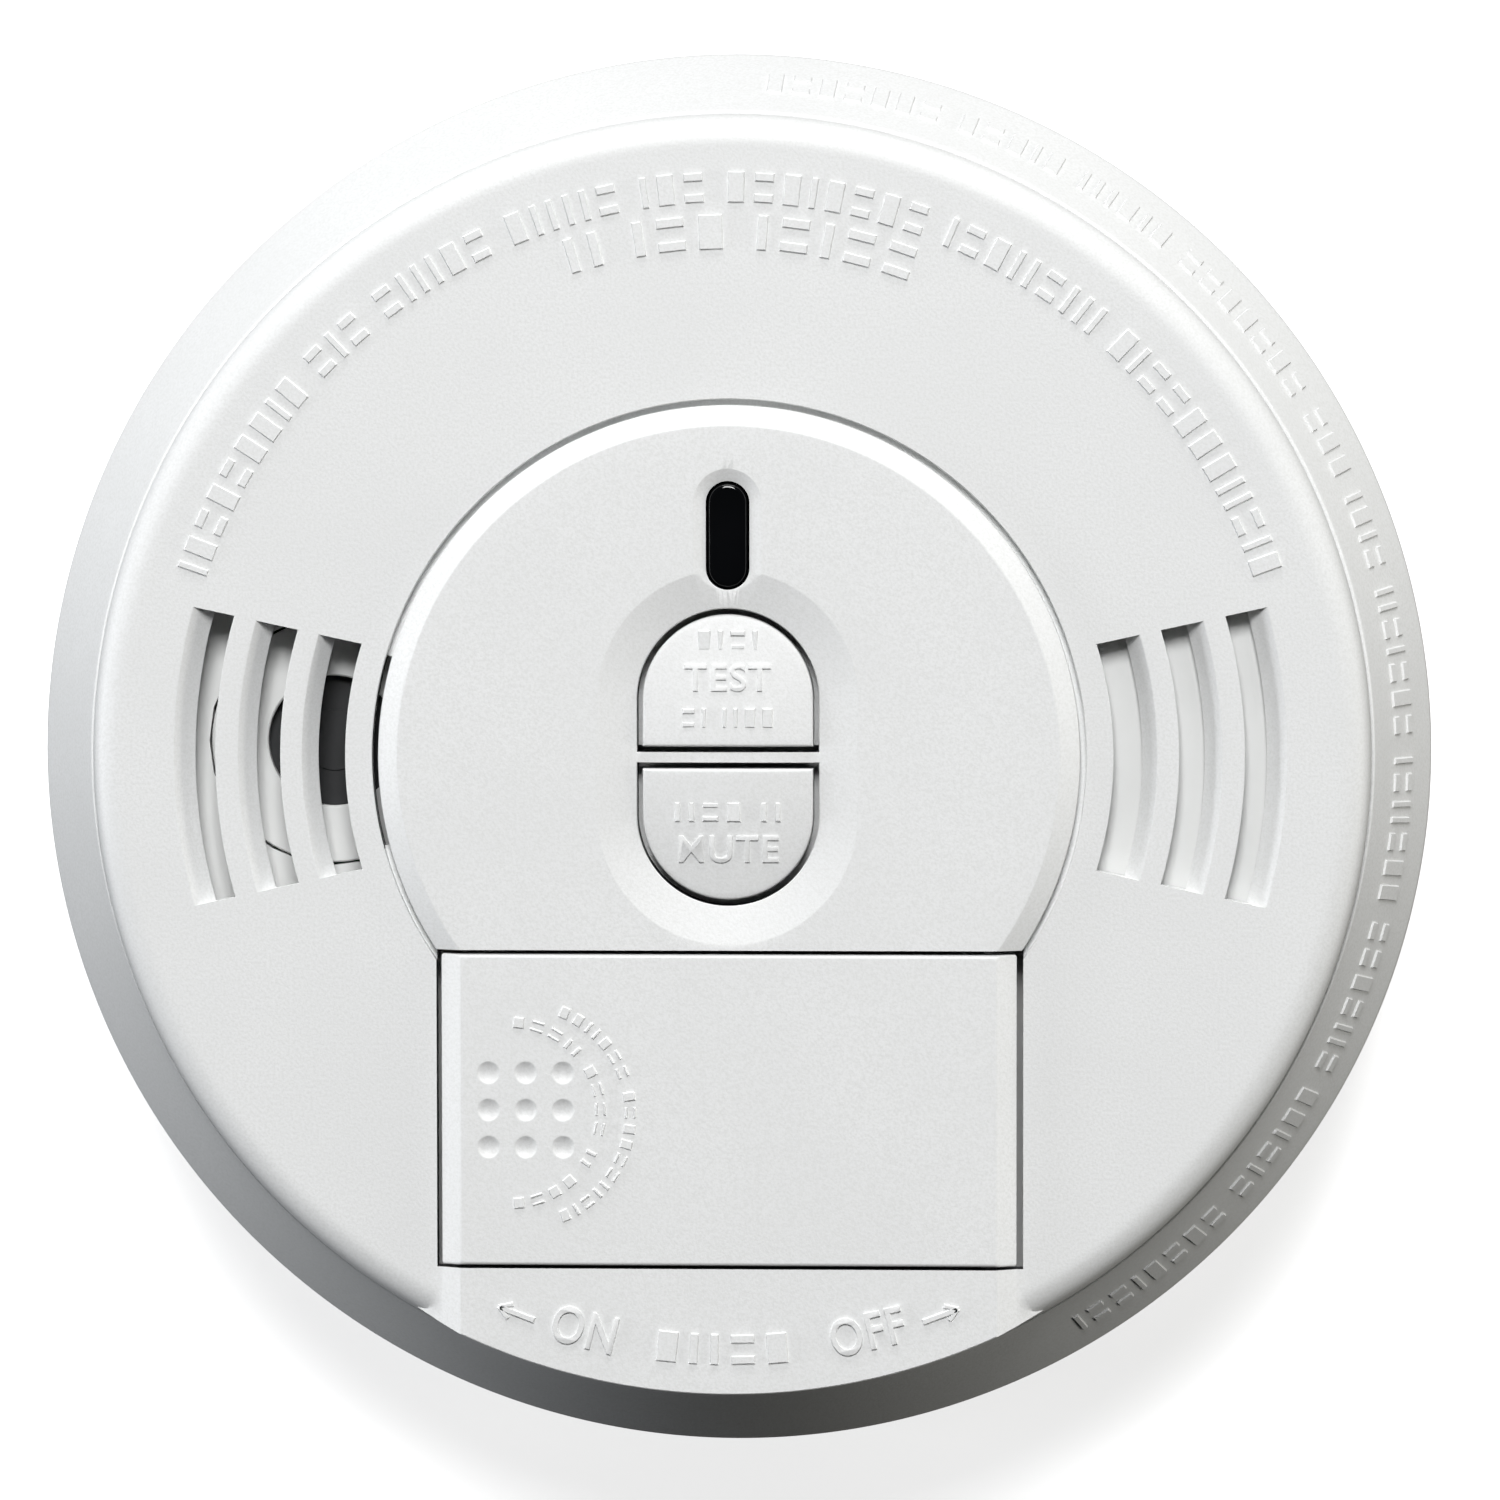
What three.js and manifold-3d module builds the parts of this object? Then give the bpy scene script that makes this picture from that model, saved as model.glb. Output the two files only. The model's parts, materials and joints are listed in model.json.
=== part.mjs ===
// Round ceiling smoke alarm: mains powered, with a 9 V battery behind a door in its face.
// Millimetres, +Z up. The wall plane is z = 0, the face looks along +Z, the battery door is at -Y.
import * as THREE from "three";
import { mergeVertices } from "three/addons/utils/BufferGeometryUtils.js";
import Module from "manifold-3d";

const wasm = await Module();
wasm.setup();

// ---------------------------------------------------------------- general
const FIT_GAP = 0.3; // between pieces that seat on each other
const CUT_MARGIN = 1; // how far a cutting body runs past what it cuts
const LARGE_ROUND = 72; // facets of the round shells
const MEDIUM_ROUND = 24;
const SMALL_ROUND = 12;
const ARC_FACETS = 6; // an extruded arc gets twice as many

// ---------------------------------------------------------------- shells
const OUTER_RADIUS = 73;
const SHELL_DEPTH = 43.5; // wall plane to the flat of the face
const SHELL_WALL = 2.2;
const REAR_EDGE_Z = 0.8; // the housing stops short of the wall
const SKIRT_HEIGHT = 11.5; // sloping part of the housing
const SKIRT_INSET = 6.4;
const SEAM_LAND = 0.6; // flat edge round the housing's mouth
const RIM_HEIGHT = 4; // seam to face
const RIM_FILLET = 3.1;
const COVER_LIP_DEPTH = 4.5; // how far the cover's tube goes into the housing
const COVER_LIP_WALL = 2;
const RAISED_HEIGHT = 1.3; // disc, door and tablet above the face
const TABLET_FOOT = 0.4; // lowest point of the tablet's bevel above the cover's underside
const BACK_PLATE_Z = 3; // rear face of the back plate
const BACK_PLATE_THICKNESS = 1.8;
const LEDGE_THICKNESS = 1.5;
const LEDGE_WIDTH = 1.8;

// ---------------------------------------------------------------- face
const DISC_RADIUS = 36.3;
const DISC_BEVEL = 2.1;
const GROOVE_WIDTH = 0.6;
const GROOVE_DEPTH = 1.2;
const GROOVE_OPEN = [163.5, 194.5]; // degrees where the groove goes right through
const LOUVRE_FIRST_GAP = 2.8; // groove to the first slot
const LOUVRE_PITCH = 6.75;
const LOUVRE_SLOTS = [2.97, 2.65, 2.3]; // widths, from the disc outwards
const LOUVRE_RAMPS = [1.53, 1.75, 2];
const LOUVRE_EDGE = 0.3; // upright part of the slot under its ramp
const LOUVRE_HALF_ANGLE = 12.3; // degrees between the ends of a slot and the X axis
const LOUVRE_APEX_X = -15.7; // where the lines of the ends meet

// ---------------------------------------------------------------- buttons
const BUTTON_OPENING_RADIUS = 9.4;
const BUTTON_ARC_Y = 5.95; // centre of the round end of each opening
const BUTTON_GAP = 0.6;
const BUTTON_BAR = 1.1; // fixed bar between the two buttons
const BUTTON_FLANGE = 1.6;
const BUTTON_FLANGE_THICKNESS = 1.1;
const BUTTON_CROWN = 0.4; // top of the crown above the disc
const BUTTON_CROWN_RADIUS = 92;
const BUTTON_TRAVEL = 0.8;
const BUTTON_STEM_RADIUS = 2;
const BUTTON_STEM_GAP = 0.4;
const BUTTON_STEM_Y = 8;
const DISH_WIDTH = 4.05;
const DISH_DEPTH = 0.8;
const DISH_TO_DOOR = 0.95;
const PLUNGER_TRAVEL = 0.25;
const PLUNGER_END_GAP = 0.05; // stem to plunger with the button fully in

// ---------------------------------------------------------------- status lens
const LENS_HALF_WIDTH = 2.05;
const LENS_LENGTH = 10.8;
const LENS_ABOVE_BUTTONS = 2.15; // button opening to the lens
const LENS_GAP = 0.2;
const LENS_FLANGE = 1;
const LENS_PROUD = 0.1;
const LENS_BEVEL_WIDTH = 1.3;
const LENS_BEVEL_DEPTH = 0.5;
const LIGHT_GUIDE_RADIUS = 1.6;
const LIGHT_GUIDE_SPACING = 6.4;
const LIGHT_GUIDE_GAP = 1; // lamp to guide

// ---------------------------------------------------------------- battery and door
const BATTERY_LENGTH = 46.4; // without its terminals
const BATTERY_WIDTH = 26.5;
const BATTERY_HEIGHT = 17.5;
const TERMINAL_HEIGHT = 2.1;
const TERMINAL_SPACING = 12.7;
const POSITIVE_RADIUS = 2.9;
const NEGATIVE_RADIUS = 4;
const BATTERY_BELOW_DOOR = 1.2;
const CONTACT_SPACE = 2.8; // terminals to the tray's end wall
const CONTACT_WIDTH = 6;
const CONTACT_THICKNESS = 0.5;
const CONTACT_RISE = 5; // strip above the terminals' middle
const CONTACT_DROP = 4; // its face below that middle
const TRAY_WALL = 1.3;
const TRAY_FLOOR = 1.5;
const TRAY_SIDE_GAP = 0.5;
const DOOR_THICKNESS = 1.8;
const DOOR_LATCH_END = 1.6; // door past the tray at the latch
const DOOR_HINGE_END = 3.4; // door past the tray at the hinge
const DOOR_SIDE = 1.1; // door past the tray, above and below
const DOOR_BEVEL = 2.1;
const DOOR_LATCH_GAP = 0.55;
const DOOR_HINGE_GAP = 0.7;
const DOOR_TOP_GAP = 0.43;
const DOOR_BOTTOM_GAP = 0.3;
const HINGE_SKIN = 0.4; // cover left over the pins' sockets
const HINGE_RIB = 2; // rib under the door that carries the pins
const HINGE_PIN_RADIUS = 0.7;
const HINGE_PIN_LENGTH = 1.2;
const HINGE_PIN_GAP = 0.3;
const SOCKET_WALL = 1;
const LATCH_DEPTH = 4.6;
const LATCH_THICKNESS = 1;
const LATCH_WIDTH = 12;
const LATCH_INSET = 0.2;
const DIMPLE_RADIUS = 1.1;
const DIMPLE_DEPTH = 0.35;
const DIMPLE_PITCH = 3.86;
const DIMPLE_FROM_EDGE = 8.8; // latch edge of the door to the middle dimple

// ---------------------------------------------------------------- mounting bracket
const BRACKET_THICKNESS = 2.4;
const BRACKET_RIM_GAP = 1.3;
const BRACKET_OPENING_RADIUS = 34;
const HOOK_RADIUS = 50; // middle of each hook's stem
const HOOK_STEM = 2;
const HOOK_FLANGE = 2.6;
const HOOK_FLANGE_THICKNESS = 1.4;
const HOOK_HALF_ANGLE = 4; // degrees
const HOOK_ANGLES = [30, 150, 270];
const HOOK_GAP = 0.6;
const TWIST_ANGLE = 20; // degrees from ON to OFF
const BOX_SCREW_RADIUS = 44.45; // half of an 88.9 mm screw spacing
const BOX_SCREW_SLOT = 4.5;
const BOX_SCREW_HEAD_RADIUS = 4.2;
const BOX_SCREW_SWEEP = 26; // degrees
const BOX_SCREW_ANGLES = [77, 257];

// ---------------------------------------------------------------- fasteners and posts
const SCREW_ANGLES = [90, 215, 325];
const SCREW_INSET = 7.7; // cover tube to the screws' circle
const SCREW_SHANK_RADIUS = 1.2;
const SCREW_HEAD_RADIUS = 2.7;
const SCREW_HEAD_HEIGHT = 1.8;
const SCREW_LENGTH = 12;
const SCREW_CROSS_LENGTH = 3;
const SCREW_CROSS_WIDTH = 0.8;
const SCREW_CROSS_DEPTH = 0.9;
const BOSS_RADIUS = 3.4;
const POCKET_DEPTH = 3.2; // from the rear face to the pocket's floor
const POCKET_WALL = 1.2;
const BOARD_POST_ANGLES = [20, 160, 270];
const BOARD_POST_CIRCLE = 42;
const BOARD_POST_RADIUS = 3;
const BOARD_PIN_RADIUS = 1.2;
const BOARD_PIN_END = 1; // pin past the board

// ---------------------------------------------------------------- electronics
const BOARD_RADIUS = 52;
const BOARD_THICKNESS = 1.6;
const BOARD_Z = 12; // rear face of the board
const SWITCH_SIZE = 6;
const SWITCH_HEIGHT = 3.5;
const SWITCH_FLOOR = 1;
const PLUNGER_RADIUS = 1.75;
const PLUNGER_HEIGHT = 3;
const LED_RADIUS = 2.5;
const LED_HEIGHT = 8.6;
const LED_FLANGE = 0.4;
const LED_FLANGE_HEIGHT = 1;
const INLET_WIDTH = 26;
const INLET_DEPTH = 13;
const INLET_WALL = 1.5;
const INLET_RECESS = 0.2; // from the back plate's rear face
const INLET_PIN_WIDTH = 1;
const INLET_PIN_DEPTH = 2.4;
const INLET_PIN_LENGTH = 4;
const INLET_PIN_SPACING = 6.5;
const HORN_X = -41.5;
const HORN_Y = 1.4;
const HORN_RADIUS = 12.7;
const HORN_HEIGHT = 13;
const HORN_WALL = 1.2;
const HORN_MOUTH_RADIUS = 6.8;
const HORN_PROUD = 0.2; // horn above the baffle
const RESONATOR_HOLE = 1.2;
const RESONATOR_WALL = 1;
const HORN_BASE_THICKNESS = 2.5;
const HORN_BASE_VENT = 3;
const SPIGOT_HEIGHT = 3.3;
const SPIGOT_WALL = 2;
const CERAMIC_RADIUS = 7.5;
const CERAMIC_THICKNESS = 0.3;
const PIEZO_THICKNESS = 0.4;
const BAFFLE_THICKNESS = 1.5;
const BAFFLE_BELOW_COVER = 3.5;
const BAFFLE_LEG_RADIUS = 2.5;
const SHELF_GAP = 0.6; // cover's underside to the shelf behind the right louvres
const SHELF_MARGIN = 2; // shelf past the slots, in and out
const SHELF_HALF_ANGLE = 20; // degrees
const SMOKE_OPENING_INNER = 44;
const SMOKE_OPENING_OUTER = 52;
const SMOKE_OPENING_SWEEPS = [
  [28, 62],
  [112, 152],
]; // degrees
const LEG_GAP = 2.4; // between a leg and the horn or the chamber beside it
const SPRING_CUP_RADIUS = 4.2;
const SPRING_CUP_WALL = 0.8;
const SPRING_CUP_DEPTH = 6.3;
const SPRING_RADIUS = 3.3; // middle of the wire
const SPRING_WIRE = 0.35; // radius
const SPRING_TURNS = 5;
const CHAMBER_X = 26;
const CHAMBER_Y = 26;
const CHAMBER_RADIUS = 13;
const CHAMBER_BASE_HEIGHT = 3;
const CHAMBER_CAN_HEIGHT = 13;
const CHAMBER_WALL = 0.6;
const CHAMBER_BASE_HOLE = 6;
const CHAMBER_CAN_INSET = 1;
const CHAMBER_WINDOW_WIDTH = 3;
const CHAMBER_WINDOW_HEIGHT = 6;
const COLLECTOR_RADIUS = 7;
const COLLECTOR_THICKNESS = 0.5;
const COLLECTOR_RISE = 5;
const SOURCE_RADIUS = 4;
const BOARD_BLOCKS = {
  // [x, y, width, depth, height]
  dropping_capacitor: [-20, 27, 18, 8, 14],
  alarm_chip: [30, 0, 20, 6.5, 4],
  bridge_rectifier: [-20, -12, 9, 7, 4],
};
const BOARD_CANS = {
  // [x, y, radius, height]
  smoothing_capacitor: [-20, 40, 5, 12],
  horn_coil: [-22, 12, 4.5, 8],
};
const VARISTOR = { x: -5, y: 40, radius: 5, thickness: 4 };
const RESISTOR_RADIUS = 2.2;
const RESISTOR_LENGTH = 14;
const RESISTOR_YS = [-29, -36];

// ---------------------------------------------------------------- label
const LABEL_WIDTH = 40;
const LABEL_DEPTH = 16;
const LABEL_THICKNESS = 0.3;
const LABEL_Y = -19;

// ---------------------------------------------------------------- levels and radii that follow
const faceZ = SHELL_DEPTH;
const raisedZ = faceZ + RAISED_HEIGHT;
const coverUnderZ = faceZ - SHELL_WALL;
const seamZ = faceZ - RIM_HEIGHT;
const shoulderZ = seamZ - SKIRT_HEIGHT;
const seamRadius = OUTER_RADIUS - SKIRT_INSET;
const mouthRadius = seamRadius - SEAM_LAND;
const rimRadius = seamRadius - FIT_GAP;
const tubeRadius = mouthRadius - FIT_GAP;
const tubeInnerRadius = tubeRadius - COVER_LIP_WALL;
const wallInnerRadius = OUTER_RADIUS - SHELL_WALL;
const backPlateTop = BACK_PLATE_Z + BACK_PLATE_THICKNESS;
const boardTop = BOARD_Z + BOARD_THICKNESS;
const partsZ = boardTop + FIT_GAP;
const baffleTop = coverUnderZ - BAFFLE_BELOW_COVER;
const baffleUnder = baffleTop - BAFFLE_THICKNESS;
const screwCircle = tubeRadius - SCREW_INSET;

// The lens stands over the buttons' opening, and the door starts below the dish round it.
const openingReach = BUTTON_ARC_Y + BUTTON_OPENING_RADIUS;
const lensY = openingReach + LENS_ABOVE_BUTTONS + LENS_LENGTH / 2;
const doorTopY = -(openingReach + DISH_WIDTH + DISH_TO_DOOR);

// The tray's cavity holds the battery; the door covers the tray and the opening frames the door.
const trayLength = BATTERY_LENGTH + TERMINAL_HEIGHT + CONTACT_SPACE + 2 * FIT_GAP;
const trayWidth = BATTERY_WIDTH + 2 * TRAY_SIDE_GAP;
const doorLength = trayLength + 2 * TRAY_WALL + DOOR_LATCH_END + DOOR_HINGE_END;
const doorWidth = trayWidth + 2 * TRAY_WALL + 2 * DOOR_SIDE;
const door = {
  left: -doorLength / 2,
  right: doorLength / 2,
  top: doorTopY,
  bottom: doorTopY - doorWidth,
};
const tray = {
  left: door.left + DOOR_LATCH_END,
  right: door.right - DOOR_HINGE_END,
  top: door.top - DOOR_SIDE,
  bottom: door.bottom + DOOR_SIDE,
};
const doorUnderZ = raisedZ - DOOR_THICKNESS;
const hingeZ = faceZ - HINGE_SKIN - HINGE_PIN_GAP - HINGE_PIN_RADIUS;
const hinge = { x: door.right - (raisedZ - hingeZ), z: hingeZ };
const hingeReach = Math.hypot(door.right - hinge.x, faceZ - hinge.z);
const trayTop = hinge.z - hingeReach - FIT_GAP;
const batteryTop = doorUnderZ - BATTERY_BELOW_DOOR;
const batteryBottom = batteryTop - BATTERY_HEIGHT;
const trayFloorTop = batteryBottom - FIT_GAP;
const batteryRight = tray.right - TRAY_WALL - FIT_GAP;
const batteryLeft = batteryRight - BATTERY_LENGTH;
const batteryY = (tray.top + tray.bottom) / 2;
const batteryZ = (batteryTop + batteryBottom) / 2;

// Buttons, switches and springs stand in line under the openings.
const buttonHalfWidth = BUTTON_OPENING_RADIUS - BUTTON_GAP;
const buttonFlatY = BUTTON_BAR / 2 + BUTTON_GAP;
const flangeTop = coverUnderZ - FIT_GAP;
const flangeUnder = flangeTop - BUTTON_FLANGE_THICKNESS;
const plungerTop = partsZ + SWITCH_HEIGHT + FIT_GAP + PLUNGER_HEIGHT;
const stemBottom = plungerTop + BUTTON_TRAVEL - PLUNGER_TRAVEL + PLUNGER_END_GAP;
const cupFloorTop = baffleTop - SPRING_CUP_DEPTH;
const legFromHorn = HORN_RADIUS + BAFFLE_LEG_RADIUS + LEG_GAP;
const legFromChamber = CHAMBER_RADIUS + BAFFLE_LEG_RADIUS + LEG_GAP;
const baffleLegs = [
  [CHAMBER_X - legFromChamber / 2, CHAMBER_Y + (legFromChamber * Math.sqrt(3)) / 2],
  [HORN_X, HORN_Y - legFromHorn],
  [-HORN_X, HORN_Y - legFromHorn],
];
const hornTop = baffleTop + HORN_PROUD;
const hornBottom = hornTop - HORN_HEIGHT;

// ---------------------------------------------------------------- shape helpers

/** A closed three.js geometry as a solid, its faces turned outwards. */
function toSolid(geometry) {
  const bare = geometry.index ? geometry.toNonIndexed() : geometry.clone();
  bare.deleteAttribute("normal");
  bare.deleteAttribute("uv");
  const merged = mergeVertices(bare, 1e-4);
  const points = Float32Array.from(merged.getAttribute("position").array);
  const corners = merged.index.array;
  const faces = [];
  let volume = 0;
  for (let i = 0; i < corners.length; i += 3) {
    const face = [corners[i], corners[i + 1], corners[i + 2]];
    if (new Set(face).size < 3) continue;
    const [a, b, c] = face.map((v) => new THREE.Vector3().fromArray(points, 3 * v));
    volume += a.dot(b.cross(c));
    faces.push(face);
  }
  if (volume < 0) faces.forEach((face) => face.reverse());
  const triVerts = Uint32Array.from(faces.flat());
  return new wasm.Manifold(new wasm.Mesh({ numProp: 3, vertProperties: points, triVerts }));
}

/** A solid back as a three.js geometry. */
function toGeometry(solid) {
  const mesh = solid.getMesh();
  const geometry = new THREE.BufferGeometry();
  geometry.setAttribute("position", new THREE.BufferAttribute(mesh.vertProperties, 3));
  geometry.setIndex(new THREE.BufferAttribute(mesh.triVerts, 1));
  const flat = geometry.toNonIndexed();
  flat.computeVertexNormals();
  return flat;
}

/** A box between two corners. */
function box(x0, y0, z0, x1, y1, z1) {
  const geometry = new THREE.BoxGeometry(x1 - x0, y1 - y0, z1 - z0);
  return toSolid(geometry.translate((x0 + x1) / 2, (y0 + y1) / 2, (z0 + z1) / 2));
}

/** A block of a given size, standing at z on its base, centred on x and y. */
function block(x, y, z, width, depth, height) {
  return box(x - width / 2, y - depth / 2, z, x + width / 2, y + depth / 2, z + height);
}

/** An upright round bar between two levels. */
function bar(x, y, radius, z0, z1, facets = SMALL_ROUND) {
  const geometry = new THREE.CylinderGeometry(radius, radius, z1 - z0, facets);
  return toSolid(geometry.rotateX(Math.PI / 2).translate(x, y, (z0 + z1) / 2));
}

/** A profile of [radius, level] points turned about an upright axis at x, y. */
function turned(profile, x = 0, y = 0, facets = LARGE_ROUND) {
  const points = profile.map(([radius, level]) => new THREE.Vector2(radius, level));
  const onAxis = profile[0][0] === 0 && profile.at(-1)[0] === 0;
  if (!onAxis) points.push(points[0].clone());
  const geometry = new THREE.LatheGeometry(points, facets);
  return toSolid(geometry.rotateX(Math.PI / 2).translate(x, y, 0));
}

/** A flat outline raised from one level to another. */
function raised(shape, z0, z1, facets = ARC_FACETS) {
  const settings = { depth: z1 - z0, bevelEnabled: false, curveSegments: facets };
  return toSolid(new THREE.ExtrudeGeometry(shape, settings).translate(0, 0, z0));
}

/** An outline that widens from its own size at z0 by `width` at z1, then runs straight up to z2. */
function funnel(shape, width, z0, z1, z2) {
  const settings = {
    depth: z2 - z1,
    bevelEnabled: true,
    bevelThickness: z1 - z0,
    bevelSize: width,
    bevelSegments: 1,
    curveSegments: ARC_FACETS,
  };
  return toSolid(new THREE.ExtrudeGeometry(shape, settings).translate(0, 0, z1));
}

/** Degrees to radians. */
function radians(degrees) {
  return THREE.MathUtils.degToRad(degrees);
}

/** A point on a circle round the origin. */
function onCircle(radius, degrees) {
  return [radius * Math.cos(radians(degrees)), radius * Math.sin(radians(degrees))];
}

/** The outline of a part of a ring. */
function ringSector(inner, outer, fromDegrees, toDegrees) {
  const shape = new THREE.Shape();
  shape.absarc(0, 0, outer, radians(fromDegrees), radians(toDegrees), false);
  shape.absarc(0, 0, inner, radians(toDegrees), radians(fromDegrees), true);
  shape.closePath();
  return shape;
}

/** An upright stadium outline, with its round ends at y +- half of the spacing. */
function stadium(halfWidth, spacing, y = 0) {
  const shape = new THREE.Shape();
  shape.absarc(0, y + spacing / 2, halfWidth, 0, Math.PI, false);
  shape.absarc(0, y - spacing / 2, halfWidth, Math.PI, 2 * Math.PI, false);
  shape.closePath();
  return shape;
}

/** Half of the buttons' stadium: flat at flatY, round above arcY. */
function halfStadium(halfWidth, flatY, arcY) {
  const shape = new THREE.Shape();
  shape.moveTo(-halfWidth, flatY);
  shape.lineTo(halfWidth, flatY);
  shape.absarc(0, arcY, halfWidth, 0, Math.PI, false);
  shape.closePath();
  return shape;
}

/** All of a list of solids in one. */
function joined(solids) {
  return solids.reduce((all, solid) => all.add(solid));
}

/** A solid less all of a list of others. */
function cut(solid, cutters) {
  return solid.subtract(joined(cutters));
}

/** A solid turned half round the upright axis. */
function halfTurn(solid) {
  return solid.rotate([0, 0, 180]);
}

// ---------------------------------------------------------------- finishes
const FINISHES = {
  whiteCase: { color: 0xf1f2f1, roughness: 0.55, metalness: 0 },
  whiteInner: { color: 0xe9eae8, roughness: 0.6, metalness: 0 },
  blackGloss: { color: 0x0a0b0c, roughness: 0.12, metalness: 0 },
  blackPlastic: { color: 0x1b1c1e, roughness: 0.5, metalness: 0 },
  steel: { color: 0xb9bcc0, roughness: 0.32, metalness: 1 },
  brass: { color: 0xc9a24a, roughness: 0.3, metalness: 1 },
  ceramic: { color: 0xd9d5c8, roughness: 0.7, metalness: 0 },
  board: { color: 0xb08a4a, roughness: 0.55, metalness: 0 },
  redLens: { color: 0xb3201c, roughness: 0.2, metalness: 0 },
  greenLens: { color: 0x2a9a45, roughness: 0.2, metalness: 0 },
  film: { color: 0xb5302a, roughness: 0.35, metalness: 0 },
  sleeve: { color: 0x20325c, roughness: 0.35, metalness: 0 },
  copper: { color: 0xa4572c, roughness: 0.35, metalness: 1 },
  label: { color: 0xd7d9da, roughness: 0.45, metalness: 0 },
};

const alarm = new THREE.Group();

/** Adds one named piece to the alarm. */
function addPiece(name, finish, shape) {
  const geometry = shape instanceof THREE.BufferGeometry ? shape : toGeometry(shape);
  const mesh = new THREE.Mesh(geometry, new THREE.MeshStandardMaterial(FINISHES[finish]));
  mesh.name = name;
  alarm.add(mesh);
}

// ---------------------------------------------------------------- mounting bracket

/** A hook that rises from the bracket and reaches outwards over the back plate. */
function bracketHook(angle) {
  const stemInner = HOOK_RADIUS - HOOK_STEM / 2;
  const stemOuter = HOOK_RADIUS + HOOK_STEM / 2;
  const flangeZ = backPlateTop + FIT_GAP;
  const from = angle - HOOK_HALF_ANGLE;
  const to = angle + HOOK_HALF_ANGLE;
  const stem = ringSector(stemInner, stemOuter, from, to);
  const flange = ringSector(stemInner, stemOuter + HOOK_FLANGE, from, to);
  return joined([
    raised(stem, BRACKET_THICKNESS / 2, flangeZ + HOOK_FLANGE_THICKNESS, 1),
    raised(flange, flangeZ, flangeZ + HOOK_FLANGE_THICKNESS, 1),
  ]);
}

/** A curved slot for a box screw, with a round hole at one end that passes the screw's head. */
function boxScrewSlot(angle) {
  const inner = BOX_SCREW_RADIUS - BOX_SCREW_SLOT / 2;
  const outer = BOX_SCREW_RADIUS + BOX_SCREW_SLOT / 2;
  const end = angle + BOX_SCREW_SWEEP;
  const z0 = -CUT_MARGIN;
  const z1 = BRACKET_THICKNESS + CUT_MARGIN;
  return joined([
    raised(ringSector(inner, outer, angle, end), z0, z1, 3),
    bar(...onCircle(BOX_SCREW_RADIUS, angle), BOX_SCREW_HEAD_RADIUS, z0, z1),
    bar(...onCircle(BOX_SCREW_RADIUS, end), BOX_SCREW_SLOT / 2, z0, z1),
  ]);
}

function mountingBracket() {
  const rimRadiusOuter = wallInnerRadius - BRACKET_RIM_GAP;
  const plate = turned([
    [BRACKET_OPENING_RADIUS, 0],
    [rimRadiusOuter, 0],
    [rimRadiusOuter, BRACKET_THICKNESS],
    [BRACKET_OPENING_RADIUS, BRACKET_THICKNESS],
  ]);
  const hooked = joined([plate, ...HOOK_ANGLES.map(bracketHook)]);
  return cut(hooked, BOX_SCREW_ANGLES.map(boxScrewSlot));
}

addPiece("mounting_bracket", "whiteInner", mountingBracket());

// ---------------------------------------------------------------- back plate

/** The slot a hook runs in: narrow where the hook holds, wide where its flange can pass. */
function hookSlot(angle) {
  const inner = HOOK_RADIUS - HOOK_STEM / 2 - HOOK_GAP;
  const outer = HOOK_RADIUS + HOOK_STEM / 2 + HOOK_GAP;
  const reach = HOOK_HALF_ANGLE + radiansToDegrees(HOOK_GAP / HOOK_RADIUS);
  const z0 = BACK_PLATE_Z - CUT_MARGIN;
  const z1 = backPlateTop + CUT_MARGIN;
  const off = angle - TWIST_ANGLE;
  const narrow = ringSector(inner, outer, off - reach, angle + reach);
  const wide = ringSector(inner, outer + HOOK_FLANGE, off - reach, off + reach);
  return joined([raised(narrow, z0, z1, 4), raised(wide, z0, z1, 2)]);
}

/** Radians to degrees. */
function radiansToDegrees(angle) {
  return THREE.MathUtils.radToDeg(angle);
}

/** The cup in the back plate that sinks a housing screw's head. */
function screwPocket(angle) {
  const outer = SCREW_HEAD_RADIUS + FIT_GAP + POCKET_WALL;
  const top = BACK_PLATE_Z + POCKET_DEPTH + BACK_PLATE_THICKNESS;
  return bar(...onCircle(screwCircle, angle), outer, BACK_PLATE_Z, top);
}

function screwPocketHollow(angle) {
  const [x, y] = onCircle(screwCircle, angle);
  const floor = BACK_PLATE_Z + POCKET_DEPTH;
  const top = floor + BACK_PLATE_THICKNESS + CUT_MARGIN;
  return joined([
    bar(x, y, SCREW_HEAD_RADIUS + FIT_GAP, BACK_PLATE_Z - CUT_MARGIN, floor),
    bar(x, y, SCREW_SHANK_RADIUS + FIT_GAP, BACK_PLATE_Z - CUT_MARGIN, top),
  ]);
}

/** A post that carries the board, with a thin pin that goes through it. */
function boardPost(angle) {
  const [x, y] = onCircle(BOARD_POST_CIRCLE, angle);
  return joined([
    bar(x, y, BOARD_POST_RADIUS, BACK_PLATE_Z, BOARD_Z - FIT_GAP),
    bar(x, y, BOARD_PIN_RADIUS, BACK_PLATE_Z, boardTop + BOARD_PIN_END),
  ]);
}

function backPlate() {
  const disc = bar(0, 0, wallInnerRadius - FIT_GAP, BACK_PLATE_Z, backPlateTop, LARGE_ROUND);
  const whole = joined([disc, ...SCREW_ANGLES.map(screwPocket), ...BOARD_POST_ANGLES.map(boardPost)]);
  const inletHole = block(
    0,
    0,
    BACK_PLATE_Z - CUT_MARGIN,
    INLET_WIDTH + 2 * FIT_GAP,
    INLET_DEPTH + 2 * FIT_GAP,
    BACK_PLATE_THICKNESS + 2 * CUT_MARGIN,
  );
  return cut(whole, [
    inletHole,
    ...SCREW_ANGLES.map(screwPocketHollow),
    ...HOOK_ANGLES.map(hookSlot),
  ]);
}

addPiece("back_plate", "whiteInner", backPlate());

// ---------------------------------------------------------------- outer housing

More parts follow.
